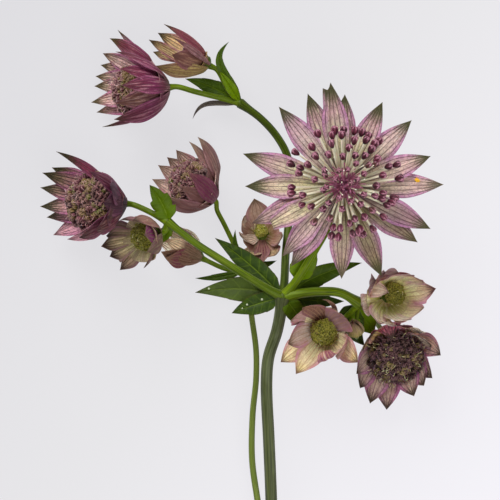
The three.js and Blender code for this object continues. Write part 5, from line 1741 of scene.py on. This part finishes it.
# The cream stalks and stamens are darker at their root: painted shade in the crowded heart of the open
# flower.
cream_thread = thread_skin("cream_stalks", "#aaa27c", "#f4ecd4")
maroon_thread = thread_skin("maroon_threads", "#74364c", "#aa6480")
pink_thread = thread_skin("pink_threads", "#9a7a70", "#c8a0a0")
lime_thread = thread_skin("lime_threads", "#8a8a4c", "#cfc89a")
dark_thread = thread_skin("dark_threads", "#3c242a", "#765660")

stalks, buds = star_florets()
make_piece("star_floret_stalks", stalks, cream_thread, "floret_maroon", "star_florets")
make_piece(
    "star_floret_buds", buds, floret_skin("crimson_florets", STAR_FLORET_COLOURS), "floret_maroon",
    "star_florets")
heart = turned(STAR_CUSHION, CORE_SIDES, head_axis("star"), head_seat("star"))
make_piece("star_cushion", [heart], maroon_thread, "floret_maroon", "star_florets")
make_piece("star_threads", star_threads(), maroon_thread, "floret_maroon", "star_florets")
make_piece("star_stamens", star_stamens(), cream_thread, "floret_maroon", "star_florets")

dome_bud = bud_form(sides=10, rings=7, peaks=0.2)
for name, dome in DOMES.items():
    node = name + "_florets"
    green = name in GREEN_CENTRED
    axis = head_axis(name)
    seat = head_seat(name) + dome.get("shift", (0, 0, 0))
    count = dome["count"]
    directions = spread_directions(count, DOME_SPREAD, axis)
    up = directions @ axis
    flat = directions - np.outer(up, axis)
    depth = 1 - chance.uniform(0, dome.get("rough", DOME_ROUGH), count)
    places = seat + axis * dome["foot"] + flat * (dome["radius"] * DOME_INSET * depth)[:, None]
    places = places + np.outer(up * (dome["top"] - dome["foot"]) * depth, axis)
    facing = unit(directions + chance.normal(0, DOME_FACING_JITTER, (count, 3)))
    widths = dome["size"] * chance.uniform(*DOME_SIZES_VARY, count)
    lengths = widths * DOME_BUD_SLENDERNESS
    buds = scattered(dome_bud, places, facing, widths, lengths, count // FLORETS_PER_CLUMP)
    skin = dark_skin if name == "dark_head" else green_skin if green else maroon_skin
    slot = "floret_green" if green else "floret_maroon"
    make_piece(name + "_floret_buds", [buds], skin, slot, node)
    threads = [
        curled_thread(places[index], facing[index], DOME_THREADS, GREEN_THREAD_SHARE if green else 1)
        for index in chance.choice(count, dome["threads"], replace=False)]
    thread = pink_thread if name in PINK_THREADED else lime_thread
    make_piece(name + "_threads", threads, thread, slot, node)
    if "fringe" in dome:
        fringe = [
            curled_thread(places[index], facing[index], FRINGE_THREADS)
            for index in chance.choice(count, dome["fringe"], replace=False)]
        make_piece(name + "_fringe", fringe, dark_thread, slot, node)
    core = cushion_core(dome, RUFFS[name]["ring"], axis, seat)
    make_piece(name + "_cushion", [core], skin, slot, node)


# The unopened bud under the right-hand joint: a few small green and tan bracts still closed round
# their florets, like a tiny artichoke, on the end of its own short stalk.
TINY_COLOURS = {
    "inner": [(0.0, "#6a7a30"), (0.5, "#a08a6a"), (1.0, "#8a6a5a")],
    "outer": [(0.0, "#5f7a24"), (0.3, "#98904c"), (0.7, "#bc9c70"), (1.0, "#94645c")],
    "streaky": 0.5, "stripe": "#c0a890", "rim": "#8a5064", "vein": "#6a5a40",
    "point": "#5a3a34", "point_from": 0.93,
}
TINY_BRACTS = 9
TINY_LAYERS = 3
TINY_COLUMNS = 9
TINY_ROWS = 18
# From root to tip: how far out a bract lies, as shares of the bud's radius, and half its fan (radians).
TINY_OUT = ((0, 0.3, 0.55, 0.8, 1), (0.38, 1, 0.78, 0.34, 0.04))
TINY_FAN = ((0, 0.35, 0.7, 1), (0.75, 0.62, 0.5, 0.02))
TINY_LAYER_SHORTER = 0.07
TINY_LAYER_INSET = 0.1
TINY_SWIRL = 0.12
TINY_THICKNESS = 0.09
TINY_PATTERN_STEP = 3.1
TINY_HEART = [(0.05, 0.0), (0.5, 0.15), (1.0, 1.2), (0.85, 2.4), (0.35, 3.3), (0.03, 3.6)]
TINY_HEART_SIDES = 16


def tiny_bud_shapes():
    """Small bracts that close over one another round the bud's axis."""
    axis = unit(TINY_BUD["along"])
    seat = np.array(TINY_BUD["at"])
    length, radius = TINY_BUD["length"], TINY_BUD["radius"]
    side = unit(np.cross(axis, (0.0, 0.0, 1.0)))
    third = np.cross(axis, side)
    share = np.linspace(0, 1, TINY_ROWS)
    across = np.linspace(-1, 1, TINY_COLUMNS)
    shapes = []
    for number in range(TINY_BRACTS):
        layer = number % TINY_LAYERS
        turn = number * 2 * np.pi / TINY_BRACTS
        height = share * length * (1 - TINY_LAYER_SHORTER * layer) * (0.86 + 0.12 * chance.random())
        out = np.interp(share, *TINY_OUT) * radius - TINY_LAYER_INSET * layer
        fan = np.interp(share, *TINY_FAN)
        angle = turn + fan[:, None] * across[None, :] + TINY_SWIRL * np.sin(share * 3)[:, None]
        spoke = np.cos(angle)[:, :, None] * side + np.sin(angle)[:, :, None] * third
        face = seat + axis * height[:, None, None] + spoke * out[:, None, None]
        half = (fan * out)[:, None]
        marks = {
            "along": share[:, None],
            "across": across,
            "half_mm": half,
            "piece": chance.random(),
            "blade_mm": (half * across[None, :], height[:, None], number * TINY_PATTERN_STEP),
            "tint": (0, 0, 0, 0),
            "pointed": 1.0,
        }
        thick = TINY_THICKNESS * spoke * np.interp(share, (0, 0.9, 1), (1, 1, 0.4))[:, None, None]
        shapes.append(slab(face - thick, face + thick, marks))
    return shapes


tiny_paper = bract_paper("tiny_bud_paper", TINY_COLOURS)
make_piece("tiny_bud_bracts", tiny_bud_shapes(), tiny_paper, "bud", "tiny_bud")
heart = turned(TINY_HEART, TINY_HEART_SIDES, unit(TINY_BUD["along"]), np.array(TINY_BUD["at"]))
make_piece("tiny_bud_heart", [heart], stem_green, "bud", "tiny_bud")


# The pollen. A few orange grains, in a clump, that fell on one bract of the open flower and stick to
# its dry face.
POLLEN_SPOT = (28, 12)
POLLEN_GRAINS = 26
POLLEN_SPREAD = 0.2
POLLEN_RADIUS = 0.18
POLLEN_RADII_VARY = (0.6, 1.15)
POLLEN_RAISED = 0.6


def pollen_shapes():
    """Small balls strewn round one spot of the bract's inner face."""
    row, column = POLLEN_SPOT
    spot = pollen_bract[row, column]
    along = unit(pollen_bract[row + 1, column] - spot)
    aside = unit(pollen_bract[row, column + 1] - spot)
    grains = []
    for _ in range(POLLEN_GRAINS):
        shift = chance.normal(0, POLLEN_SPREAD, 2)
        radius = POLLEN_RADIUS * chance.uniform(*POLLEN_RADII_VARY)
        raised = (0, 0, radius * POLLEN_RAISED)
        grains.append(bead(spot + along * shift[0] + aside * shift[1] + raised, radius))
    return grains


pollen = thread_skin("pollen", "#d8940c", "#f0b828")
make_piece("pollen_grains", pollen_shapes(), pollen, "bract_pale", "star_bracts")
